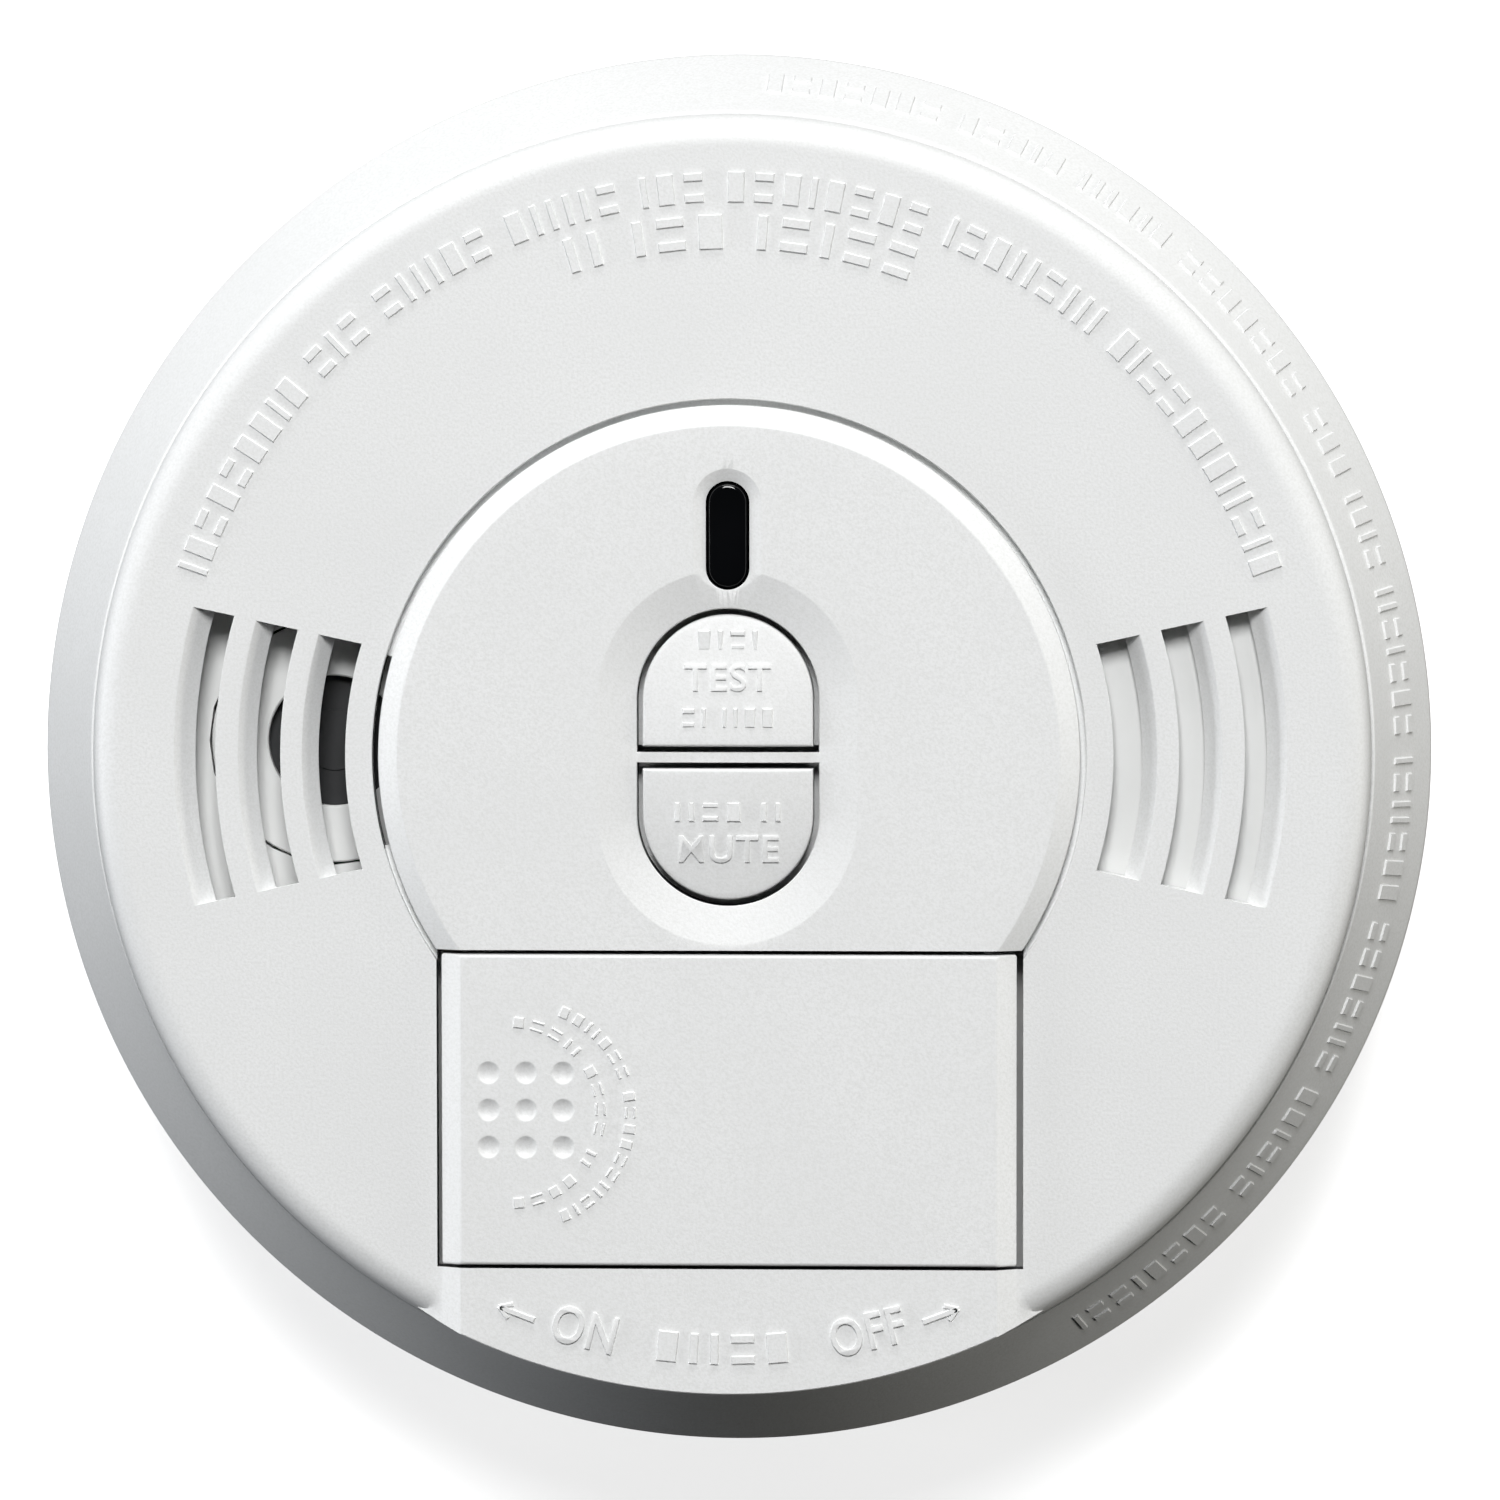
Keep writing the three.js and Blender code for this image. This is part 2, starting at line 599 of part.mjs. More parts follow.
function outerHousing() {
  const skirt = new THREE.Vector2(-SKIRT_INSET, SKIRT_HEIGHT);
  const slope = skirt.clone().normalize();
  const inward = new THREE.Vector2(-slope.y, slope.x).multiplyScalar(SHELL_WALL);
  const start = new THREE.Vector2(OUTER_RADIUS, shoulderZ).add(inward);
  const levelAt = (radius) => start.y + ((start.x - radius) * SKIRT_HEIGHT) / SKIRT_INSET;
  const ledgeZ = backPlateTop + FIT_GAP;
  return turned([
    [OUTER_RADIUS, REAR_EDGE_Z],
    [OUTER_RADIUS, shoulderZ],
    [seamRadius, seamZ],
    [mouthRadius, seamZ],
    [mouthRadius, levelAt(mouthRadius)],
    [wallInnerRadius, levelAt(wallInnerRadius)],
    [wallInnerRadius, ledgeZ + LEDGE_THICKNESS],
    [wallInnerRadius - LEDGE_WIDTH, ledgeZ + LEDGE_THICKNESS],
    [wallInnerRadius - LEDGE_WIDTH, ledgeZ],
    [wallInnerRadius, ledgeZ],
    [wallInnerRadius, REAR_EDGE_Z],
  ]);
}

addPiece("outer_housing", "whiteCase", outerHousing());

// ---------------------------------------------------------------- front cover

/** Points of the cover's rounded rim, from the face outwards and down. */
function rimArc() {
  const steps = 4;
  return Array.from({ length: steps + 1 }, (_, i) => {
    const angle = (Math.PI / 2) * (1 - i / steps);
    return [
      rimRadius - RIM_FILLET + RIM_FILLET * Math.cos(angle),
      faceZ - RIM_FILLET + RIM_FILLET * Math.sin(angle),
    ];
  });
}

/** One curved slot with a ramp on its outer side, on the +X side of the face. */
function louvreCut(index) {
  const inner = DISC_RADIUS + GROOVE_WIDTH + LOUVRE_FIRST_GAP + index * LOUVRE_PITCH;
  const outer = inner + LOUVRE_SLOTS[index];
  const ring = turned([
    [inner, coverUnderZ - CUT_MARGIN],
    [outer, coverUnderZ - CUT_MARGIN],
    [outer, coverUnderZ + LOUVRE_EDGE],
    [outer + LOUVRE_RAMPS[index], faceZ],
    [outer + LOUVRE_RAMPS[index], faceZ + CUT_MARGIN],
    [inner, faceZ + CUT_MARGIN],
  ]);
  const reach = 2 * outer;
  const side = (reach - LOUVRE_APEX_X) * Math.tan(radians(LOUVRE_HALF_ANGLE));
  const wedge = new THREE.Shape();
  wedge.moveTo(LOUVRE_APEX_X, 0);
  wedge.lineTo(reach, -side);
  wedge.lineTo(reach, side);
  wedge.closePath();
  const low = coverUnderZ - 2 * CUT_MARGIN;
  return ring.intersect(raised(wedge, low, faceZ + 2 * CUT_MARGIN));
}

/** The raised tablet from the door to the cover's edge. Its side bevels run on down to the rim. */
function tablet() {
  const low = coverUnderZ + TABLET_FOOT;
  const spread = (DOOR_BEVEL * (faceZ - low)) / RAISED_HEIGHT;
  const section = new THREE.Shape();
  section.moveTo(door.left - spread, coverUnderZ);
  section.lineTo(door.right + spread, coverUnderZ);
  section.lineTo(door.right + spread, low);
  section.lineTo(door.right - DOOR_BEVEL, raisedZ);
  section.lineTo(door.left + DOOR_BEVEL, raisedZ);
  section.lineTo(door.left - spread, low);
  section.closePath();
  const settings = { depth: OUTER_RADIUS, bevelEnabled: false };
  const beam = new THREE.ExtrudeGeometry(section, settings).rotateX(Math.PI / 2);
  const start = door.bottom + CUT_MARGIN;
  const edge = rimRadius - FIT_GAP;
  const disc = bar(0, 0, edge, coverUnderZ - CUT_MARGIN, raisedZ + CUT_MARGIN, LARGE_ROUND);
  return toSolid(beam.translate(0, start, 0)).intersect(disc);
}

/** The blocks under the cover that hold the door's hinge pins. */
function hingeSockets() {
  const half = HINGE_PIN_RADIUS + HINGE_PIN_GAP + SOCKET_WALL;
  const depth = HINGE_PIN_LENGTH + HINGE_PIN_GAP + SOCKET_WALL;
  const low = hinge.z - half;
  const topY = door.top + DOOR_TOP_GAP;
  const bottomY = door.bottom - DOOR_BOTTOM_GAP;
  return [
    box(hinge.x - half, topY, low, hinge.x + half, topY + depth, faceZ),
    box(hinge.x - half, bottomY - depth, low, hinge.x + half, bottomY, faceZ),
  ];
}

/** The round bore along Y that the door's pins turn in. */
function hingeBore() {
  const length = doorWidth + 2 * (HINGE_PIN_LENGTH + HINGE_PIN_GAP);
  const radius = HINGE_PIN_RADIUS + HINGE_PIN_GAP;
  const geometry = new THREE.CylinderGeometry(radius, radius, length, 12);
  return toSolid(geometry.translate(hinge.x, (door.top + door.bottom) / 2, hinge.z));
}

/** A hollow post under the cover that takes a housing screw. */
function screwBoss(angle) {
  const [x, y] = onCircle(screwCircle, angle);
  const bottom = BACK_PLATE_Z + POCKET_DEPTH + BACK_PLATE_THICKNESS + FIT_GAP;
  const bore = bar(x, y, SCREW_SHANK_RADIUS + FIT_GAP, bottom - CUT_MARGIN, bottom + SCREW_LENGTH);
  return bar(x, y, BOSS_RADIUS, bottom, coverUnderZ + CUT_MARGIN).subtract(bore);
}

function frontCover() {
  const tubeBottom = seamZ - COVER_LIP_DEPTH;
  const shell = turned([
    [0, raisedZ],
    [DISC_RADIUS - DISC_BEVEL, raisedZ],
    [DISC_RADIUS, faceZ],
    [DISC_RADIUS, faceZ - GROOVE_DEPTH],
    [DISC_RADIUS + GROOVE_WIDTH, faceZ - GROOVE_DEPTH],
    [DISC_RADIUS + GROOVE_WIDTH, faceZ],
    ...rimArc(),
    [rimRadius, seamZ + FIT_GAP],
    [tubeRadius, seamZ + FIT_GAP],
    [tubeRadius, tubeBottom],
    [tubeInnerRadius, tubeBottom],
    [tubeInnerRadius, coverUnderZ],
    [0, coverUnderZ],
  ]);
  const whole = joined([shell, tablet(), ...hingeSockets(), ...SCREW_ANGLES.map(screwBoss)]);
  const low = coverUnderZ - 4 * CUT_MARGIN;
  const high = raisedZ + CUT_MARGIN;
  const doorOpening = box(
    door.left - DOOR_LATCH_GAP,
    door.bottom - DOOR_BOTTOM_GAP,
    low,
    door.right + DOOR_HINGE_GAP,
    door.top + DOOR_TOP_GAP,
    high,
  );
  const buttonOpening = raised(
    halfStadium(BUTTON_OPENING_RADIUS, BUTTON_BAR / 2, BUTTON_ARC_Y),
    low,
    high,
  );
  const opening = stadium(BUTTON_OPENING_RADIUS, 2 * BUTTON_ARC_Y);
  const dish = funnel(opening, DISH_WIDTH, raisedZ - DISH_DEPTH, raisedZ, high);
  const lensSpacing = LENS_LENGTH - 2 * LENS_HALF_WIDTH;
  const lensOutline = stadium(LENS_HALF_WIDTH + LENS_GAP, lensSpacing, lensY);
  const lensBevel = funnel(lensOutline, LENS_BEVEL_WIDTH, raisedZ - LENS_BEVEL_DEPTH, raisedZ, high);
  const louvres = LOUVRE_SLOTS.map((_, i) => louvreCut(i));
  const openGroove = ringSector(DISC_RADIUS, DISC_RADIUS + GROOVE_WIDTH, ...GROOVE_OPEN);
  return cut(whole, [
    doorOpening,
    hingeBore(),
    buttonOpening,
    halfTurn(buttonOpening),
    dish,
    raised(lensOutline, low, high),
    lensBevel,
    raised(openGroove, low, high),
    ...louvres,
    ...louvres.map(halfTurn),
  ]);
}

addPiece("front_cover", "whiteCase", frontCover());

// ---------------------------------------------------------------- battery door

function batteryDoor() {
  const section = new THREE.Shape();
  section.moveTo(door.left, doorUnderZ);
  section.lineTo(door.right, doorUnderZ);
  section.lineTo(door.right, faceZ);
  section.lineTo(door.right - DOOR_BEVEL, raisedZ);
  section.lineTo(door.left + DOOR_BEVEL, raisedZ);
  section.lineTo(door.left, faceZ);
  section.closePath();
  const settings = { depth: doorWidth, bevelEnabled: false };
  const slab = new THREE.ExtrudeGeometry(section, settings).rotateX(Math.PI / 2);
  const middleY = (door.top + door.bottom) / 2;
  const pinLength = doorWidth + 2 * HINGE_PIN_LENGTH;
  const pins = new THREE.CylinderGeometry(HINGE_PIN_RADIUS, HINGE_PIN_RADIUS, pinLength, 12);
  const latchX = door.left + LATCH_INSET;
  const latch = box(
    latchX,
    middleY - LATCH_WIDTH / 2,
    doorUnderZ - LATCH_DEPTH,
    latchX + LATCH_THICKNESS,
    middleY + LATCH_WIDTH / 2,
    faceZ - LATCH_INSET,
  );
  const reach = (DIMPLE_RADIUS ** 2 + DIMPLE_DEPTH ** 2) / (2 * DIMPLE_DEPTH);
  const dimples = [];
  for (const column of [-1, 0, 1]) {
    for (const row of [-1, 0, 1]) {
      const ball = new THREE.SphereGeometry(reach, 10, 12).rotateX(Math.PI / 2);
      const x = door.left + DIMPLE_FROM_EDGE + column * DIMPLE_PITCH;
      const z = raisedZ - DIMPLE_DEPTH + reach;
      dimples.push(toSolid(ball.translate(x, middleY + row * DIMPLE_PITCH, z)));
    }
  }
  const rib = box(
    hinge.x - HINGE_RIB / 2,
    door.bottom,
    hinge.z - HINGE_PIN_RADIUS,
    hinge.x + HINGE_RIB / 2,
    door.top,
    doorUnderZ + HINGE_SKIN,
  );
  const pinBars = toSolid(pins.translate(hinge.x, middleY, hinge.z));
  return cut(joined([toSolid(slab.translate(0, door.top, 0)), rib, pinBars, latch]), dimples);
}

addPiece("battery_door", "whiteCase", batteryDoor());

// ---------------------------------------------------------------- battery tray and battery

function batteryTray() {
  const floor = trayFloorTop - TRAY_FLOOR;
  const shell = box(tray.left, tray.bottom, floor, tray.right, tray.top, trayTop);
  const hollow = box(
    tray.left + TRAY_WALL,
    tray.bottom + TRAY_WALL,
    trayFloorTop,
    tray.right - TRAY_WALL,
    tray.top - TRAY_WALL,
    trayTop + CUT_MARGIN,
  );
  return shell.subtract(hollow);
}

/** A battery terminal: a short round stud that points along -X. */
function terminal(y, radius, facets) {
  const stud = new THREE.CylinderGeometry(radius, radius, TERMINAL_HEIGHT - FIT_GAP, facets);
  const x = batteryLeft - FIT_GAP - (TERMINAL_HEIGHT - FIT_GAP) / 2;
  return toSolid(stud.rotateZ(Math.PI / 2).translate(x, y, batteryZ));
}

/** A bent strip that presses on a terminal, with a tail through the tray's floor level. */
function contactStrip(y) {
  const wallX = tray.left + TRAY_WALL + FIT_GAP;
  const faceX = batteryLeft - TERMINAL_HEIGHT - FIT_GAP;
  const side = CONTACT_WIDTH / 2;
  const top = batteryZ + CONTACT_RISE;
  const bottom = trayFloorTop + FIT_GAP;
  return joined([
    box(wallX, y - side, bottom, wallX + CONTACT_THICKNESS, y + side, top),
    box(wallX, y - side, top - CONTACT_THICKNESS, faceX, y + side, top),
    box(faceX - CONTACT_THICKNESS, y - side, batteryZ - CONTACT_DROP, faceX, y + side, top),
  ]);
}

addPiece("battery_tray", "whiteInner", batteryTray());
const batteryCase = box(
  batteryLeft,
  batteryY - BATTERY_WIDTH / 2,
  batteryBottom,
  batteryRight,
  batteryY + BATTERY_WIDTH / 2,
  batteryTop,
);
addPiece("battery_9v", "blackPlastic", batteryCase);
const positiveY = batteryY + TERMINAL_SPACING / 2;
const negativeY = batteryY - TERMINAL_SPACING / 2;
addPiece("battery_terminal_positive", "steel", terminal(positiveY, POSITIVE_RADIUS, MEDIUM_ROUND));
addPiece("battery_terminal_negative", "steel", terminal(negativeY, NEGATIVE_RADIUS, 6));
addPiece("battery_contact_positive", "brass", contactStrip(positiveY));
addPiece("battery_contact_negative", "brass", contactStrip(negativeY));

// ---------------------------------------------------------------- buttons, springs and switches

/** The test button: crowned cap, retaining flange and the stem that works the switch. */
function pushButton() {
  const capOutline = halfStadium(buttonHalfWidth, buttonFlatY, BUTTON_ARC_Y);
  const flangeOutline = halfStadium(buttonHalfWidth + BUTTON_FLANGE, buttonFlatY, BUTTON_ARC_Y);
  const crownTop = raisedZ + BUTTON_CROWN;
  const crownReach = openingReach + CUT_MARGIN;
  const crown = [];
  for (let step = 0; step <= 4; step += 1) {
    const radius = (crownReach * step) / 4;
    const drop = BUTTON_CROWN_RADIUS - Math.sqrt(BUTTON_CROWN_RADIUS ** 2 - radius ** 2);
    crown.push([radius, crownTop - drop]);
  }
  crown.push([crownReach, flangeUnder - CUT_MARGIN], [0, flangeUnder - CUT_MARGIN]);
  const cap = raised(capOutline, flangeUnder, crownTop + CUT_MARGIN);
  return joined([
    cap.intersect(turned(crown, 0, 0, 24)),
    raised(flangeOutline, flangeUnder, flangeTop),
    bar(0, BUTTON_STEM_Y, BUTTON_STEM_RADIUS, stemBottom, flangeTop),
  ]);
}

/** A coil spring between the cup's floor and the button's flange. */
function buttonSpring(y) {
  const low = cupFloorTop + FIT_GAP + SPRING_WIRE;
  const high = flangeUnder - FIT_GAP - SPRING_WIRE;
  const steps = 10 * SPRING_TURNS;
  const points = Array.from({ length: steps + 1 }, (_, i) => {
    const angle = (2 * Math.PI * SPRING_TURNS * i) / steps;
    const z = low + ((high - low) * i) / steps;
    return new THREE.Vector3(SPRING_RADIUS * Math.cos(angle), y + SPRING_RADIUS * Math.sin(angle), z);
  });
  const wire = new THREE.Shape();
  wire.absarc(0, 0, SPRING_WIRE, 0, 2 * Math.PI, false);
  const path = new THREE.CatmullRomCurve3(points);
  const settings = { steps, extrudePath: path, curveSegments: 3, bevelEnabled: false };
  return toSolid(new THREE.ExtrudeGeometry(wire, settings));
}

function switchBody(y) {
  const body = block(0, y, partsZ, SWITCH_SIZE, SWITCH_SIZE, SWITCH_HEIGHT);
  const top = partsZ + SWITCH_HEIGHT + CUT_MARGIN;
  const hole = bar(0, y, PLUNGER_RADIUS + FIT_GAP, partsZ + SWITCH_FLOOR, top);
  return body.subtract(hole);
}

function switchPlunger(y) {
  const bottom = partsZ + SWITCH_FLOOR + PLUNGER_TRAVEL + FIT_GAP;
  return bar(0, y, PLUNGER_RADIUS, bottom, plungerTop);
}

const testButton = pushButton();
addPiece("test_button", "whiteCase", testButton);
addPiece("silence_button", "whiteCase", halfTurn(testButton));
for (const [name, y] of [["test", BUTTON_STEM_Y], ["silence", -BUTTON_STEM_Y]]) {
  addPiece(`${name}_button_spring`, "steel", buttonSpring(y));
  addPiece(`${name}_switch_body`, "blackPlastic", switchBody(y));
  addPiece(`${name}_switch_plunger`, "blackPlastic", switchPlunger(y));
}

// ---------------------------------------------------------------- status lens and lamps

function statusLens() {
  const spacing = LENS_LENGTH - 2 * LENS_HALF_WIDTH;
  const outline = stadium(LENS_HALF_WIDTH, spacing, lensY);
  const flange = stadium(LENS_HALF_WIDTH + LENS_FLANGE, spacing, lensY);
  const guideBottom = partsZ + LED_HEIGHT + LIGHT_GUIDE_GAP;
  const guides = [-0.5, 0.5].map((side) =>
    bar(0, lensY + side * LIGHT_GUIDE_SPACING, LIGHT_GUIDE_RADIUS, guideBottom, flangeTop),
  );
  return joined([
    raised(outline, flangeUnder, raisedZ + LENS_PROUD),
    raised(flange, flangeUnder, flangeTop),
    ...guides,
  ]);
}

/** A domed lamp standing on the board. */
function lamp(y) {
  const top = partsZ + LED_HEIGHT;
  const shoulder = top - LED_RADIUS;
  const dome = [0, 45, 90].map((degrees) => [
    LED_RADIUS * Math.sin(radians(degrees)),
    shoulder + LED_RADIUS * Math.cos(radians(degrees)),
  ]);
  const flangeRadius = LED_RADIUS + LED_FLANGE;
  const flangeZ = partsZ + LED_FLANGE_HEIGHT;
  const foot = [[LED_RADIUS, flangeZ], [flangeRadius, flangeZ], [flangeRadius, partsZ], [0, partsZ]];
  return turned([...dome, ...foot], 0, y, SMALL_ROUND);
}

addPiece("status_lens", "blackGloss", statusLens());
addPiece("led_red", "redLens", lamp(lensY - LIGHT_GUIDE_SPACING / 2));
addPiece("led_green", "greenLens", lamp(lensY + LIGHT_GUIDE_SPACING / 2));

// ---------------------------------------------------------------- smoke baffle

/** The tube that guides a button's stem and holds its spring. */
function springCup(y) {
  const outer = SPRING_CUP_RADIUS + SPRING_CUP_WALL;
  return bar(0, y, outer, cupFloorTop - SPRING_CUP_WALL, baffleTop);
}

function springCupHollow(y) {
  return joined([
    bar(0, y, SPRING_CUP_RADIUS, cupFloorTop, baffleTop + CUT_MARGIN),
    bar(0, y, BUTTON_STEM_RADIUS + BUTTON_STEM_GAP, cupFloorTop - 2 * CUT_MARGIN, baffleTop),
  ]);
}

/** Curved openings that let smoke down to the chamber. */
function smokeOpening([fromDegrees, toDegrees]) {
  const outline = ringSector(SMOKE_OPENING_INNER, SMOKE_OPENING_OUTER, fromDegrees, toDegrees);
  return raised(outline, baffleUnder - CUT_MARGIN, baffleTop + CUT_MARGIN, 4);
}

/** The raised shelf close behind the louvres that have no horn. */
function louvreShelf() {
  const inner = DISC_RADIUS + GROOVE_WIDTH + LOUVRE_FIRST_GAP - SHELF_MARGIN;
  const last = LOUVRE_SLOTS.length - 1;
  const slotEnd = inner + SHELF_MARGIN + last * LOUVRE_PITCH + LOUVRE_SLOTS[last];
  const outline = ringSector(inner, slotEnd + SHELF_MARGIN, -SHELF_HALF_ANGLE, SHELF_HALF_ANGLE);
  return raised(outline, baffleUnder, coverUnderZ - SHELF_GAP);
}

function smokeBaffle() {
  const low = baffleUnder - CUT_MARGIN;
  const high = baffleTop + CUT_MARGIN;
  const disc = bar(0, 0, tubeInnerRadius - 2 * FIT_GAP, baffleUnder, baffleTop, LARGE_ROUND);
  const legs = baffleLegs.map(([x, y]) => bar(x, y, BAFFLE_LEG_RADIUS, partsZ, baffleUnder + 0.5));
  const cups = [BUTTON_STEM_Y, -BUTTON_STEM_Y].map(springCup);
  const trayHole = box(
    tray.left - FIT_GAP,
    tray.bottom - FIT_GAP,
    low,
    tray.right + FIT_GAP,
    tray.top + FIT_GAP,
    high,
  );
  const hornHole = bar(HORN_X, HORN_Y, HORN_RADIUS + FIT_GAP, low, high, MEDIUM_ROUND);
  const bossHoles = SCREW_ANGLES.map((angle) =>
    bar(...onCircle(screwCircle, angle), BOSS_RADIUS + FIT_GAP, low, high),
  );
  const guideHoles = [-0.5, 0.5].map((side) =>
    bar(0, lensY + side * LIGHT_GUIDE_SPACING, LIGHT_GUIDE_RADIUS + FIT_GAP, low, high),
  );
  return cut(joined([disc, louvreShelf(), ...legs, ...cups]), [
    trayHole,
    hornHole,
    ...bossHoles,
    ...guideHoles,
    ...[BUTTON_STEM_Y, -BUTTON_STEM_Y].map(springCupHollow),
    ...SMOKE_OPENING_SWEEPS.map(smokeOpening),
  ]);
}

addPiece("smoke_baffle", "whiteInner", smokeBaffle());

// ---------------------------------------------------------------- horn

function hornHousing() {
  const inner = HORN_RADIUS - HORN_WALL;
  const profile = [
    [HORN_MOUTH_RADIUS, hornTop],
    [HORN_RADIUS, hornTop],
    [HORN_RADIUS, hornBottom],
    [inner, hornBottom],
    [inner, hornTop - HORN_WALL],
    [HORN_MOUTH_RADIUS, hornTop - HORN_WALL],
  ];
  return turned(profile, HORN_X, HORN_Y, MEDIUM_ROUND);
}

const hornInner = HORN_RADIUS - HORN_WALL - FIT_GAP;
const hornBaseTop = hornBottom - FIT_GAP;
const spigotTop = hornBottom + SPIGOT_HEIGHT;
const piezoZ = spigotTop + FIT_GAP;
const resonatorBottom = piezoZ + PIEZO_THICKNESS + FIT_GAP;
const resonatorTop = hornTop - HORN_WALL - FIT_GAP;

function hornResonator() {
  const profile = [
    [RESONATOR_HOLE, resonatorTop],
    [hornInner, resonatorTop],
    [hornInner, resonatorBottom],
    [hornInner - RESONATOR_WALL, resonatorBottom],
    [hornInner - RESONATOR_WALL, resonatorTop - RESONATOR_WALL],
    [RESONATOR_HOLE, resonatorTop - RESONATOR_WALL],
  ];
  return turned(profile, HORN_X, HORN_Y, MEDIUM_ROUND);
}

function hornBase() {
  const profile = [
    [HORN_BASE_VENT, hornBaseTop - HORN_BASE_THICKNESS],
    [HORN_RADIUS, hornBaseTop - HORN_BASE_THICKNESS],
    [HORN_RADIUS, hornBaseTop],
    [hornInner, hornBaseTop],
    [hornInner, spigotTop],
    [hornInner - SPIGOT_WALL, spigotTop],
    [hornInner - SPIGOT_WALL, hornBaseTop],
    [HORN_BASE_VENT, hornBaseTop],
  ];
  return turned(profile, HORN_X, HORN_Y, MEDIUM_ROUND);
}

const ceramicTop = piezoZ - FIT_GAP;
addPiece("horn_housing", "whiteInner", hornHousing());
addPiece("horn_resonator", "blackPlastic", hornResonator());
addPiece("horn_base", "whiteInner", hornBase());
const piezoDisc = bar(HORN_X, HORN_Y, hornInner, piezoZ, piezoZ + PIEZO_THICKNESS, MEDIUM_ROUND);
addPiece("piezo_disc", "brass", piezoDisc);
const ceramicBottom = ceramicTop - CERAMIC_THICKNESS;
const piezoCeramic = bar(HORN_X, HORN_Y, CERAMIC_RADIUS, ceramicBottom, ceramicTop, MEDIUM_ROUND);
addPiece("piezo_ceramic", "ceramic", piezoCeramic);

// ---------------------------------------------------------------- circuit board and its parts

function circuitBoard() {
  const board = bar(0, 0, BOARD_RADIUS, BOARD_Z, boardTop, LARGE_ROUND / 2);
  const holes = BOARD_POST_ANGLES.map((angle) => {
    const [x, y] = onCircle(BOARD_POST_CIRCLE, angle);
    return bar(x, y, BOARD_PIN_RADIUS + FIT_GAP, BOARD_Z - CUT_MARGIN, boardTop + CUT_MARGIN, 12);
  });
  return cut(board, holes);
}

/** The shrouded mains inlet under the board: a box that opens to the rear. */
function inletHousing() {
  const bottom = BACK_PLATE_Z + INLET_RECESS;
  const top = BOARD_Z - FIT_GAP;
  const shell = block(0, 0, bottom, INLET_WIDTH, INLET_DEPTH, top - bottom);
  const hollow = block(
    0,
    0,
    bottom - CUT_MARGIN,
    INLET_WIDTH - 2 * INLET_WALL,
    INLET_DEPTH - 2 * INLET_WALL,
    top - bottom - INLET_WALL + CUT_MARGIN,
  );
  return shell.subtract(hollow);
}

function inletPin(x) {
  const top = BOARD_Z - 2 * FIT_GAP - INLET_WALL;
  return block(x, 0, top - INLET_PIN_LENGTH, INLET_PIN_WIDTH, INLET_PIN_DEPTH, INLET_PIN_LENGTH);
}

/** A round bar lying along X. */
function lyingBar(x, y, z, radius, length) {
  const geometry = new THREE.CylinderGeometry(radius, radius, length, 16);
  return toSolid(geometry.rotateZ(Math.PI / 2).translate(x, y, z));
}

/** A disc standing on edge at a level, facing along Y. */
function standingDisc({ x, y, radius, thickness }, z) {
  const geometry = new THREE.CylinderGeometry(radius, radius, thickness, SMALL_ROUND);
  return toSolid(geometry.translate(x, y, z + radius));
}

addPiece("circuit_board", "board", circuitBoard());
addPiece("mains_inlet", "blackPlastic", inletHousing());
addPiece("mains_pin_live", "brass", inletPin(-INLET_PIN_SPACING));
addPiece("mains_pin_interconnect", "brass", inletPin(0));
addPiece("mains_pin_neutral", "brass", inletPin(INLET_PIN_SPACING));
for (const [name, [x, y, width, depth, height]] of Object.entries(BOARD_BLOCKS)) {
  const finish = name === "dropping_capacitor" ? "film" : "blackPlastic";
  addPiece(name, finish, block(x, y, partsZ, width, depth, height));
}
for (const [name, [x, y, radius, height]] of Object.entries(BOARD_CANS)) {
  const finish = name === "horn_coil" ? "copper" : "sleeve";
  addPiece(name, finish, bar(x, y, radius, partsZ, partsZ + height));
}
addPiece("surge_varistor", "sleeve", standingDisc(VARISTOR, partsZ));
RESISTOR_YS.forEach((y, i) => {
  const resistor = lyingBar(0, y, partsZ + RESISTOR_RADIUS, RESISTOR_RADIUS, RESISTOR_LENGTH);
  addPiece(`power_resistor_${i + 1}`, "ceramic", resistor);
});

// ---------------------------------------------------------------- sensing chamber

const canBottom = partsZ + CHAMBER_BASE_HEIGHT + FIT_GAP;
const canTop = canBottom + CHAMBER_CAN_HEIGHT;
const canRadius = CHAMBER_RADIUS - CHAMBER_CAN_INSET;

function chamberBase() {
  const profile = [
    [CHAMBER_BASE_HOLE, partsZ],
    [CHAMBER_RADIUS, partsZ],
    [CHAMBER_RADIUS, partsZ + CHAMBER_BASE_HEIGHT],
    [CHAMBER_BASE_HOLE, partsZ + CHAMBER_BASE_HEIGHT],
  ];
  return turned(profile, CHAMBER_X, CHAMBER_Y, MEDIUM_ROUND);
}

/** A thin metal cup turned over the base, with windows round its side. */
function chamberCan() {
  const profile = [
    [0, canTop],
    [canRadius, canTop],
    [canRadius, canBottom],
    [canRadius - CHAMBER_WALL, canBottom],
    [canRadius - CHAMBER_WALL, canTop - CHAMBER_WALL],
    [0, canTop - CHAMBER_WALL],
  ];
  const cup = turned(profile, CHAMBER_X, CHAMBER_Y, MEDIUM_ROUND);
  const windows = [0, 45, 90, 135].map((degrees) => {
    const reach = 3 * canRadius;
    const slot = new THREE.BoxGeometry(reach, CHAMBER_WINDOW_WIDTH, CHAMBER_WINDOW_HEIGHT);
    slot.rotateZ(radians(degrees));
    return toSolid(slot.translate(CHAMBER_X, CHAMBER_Y, (canBottom + canTop) / 2));
  });
  return cut(cup, windows);
}

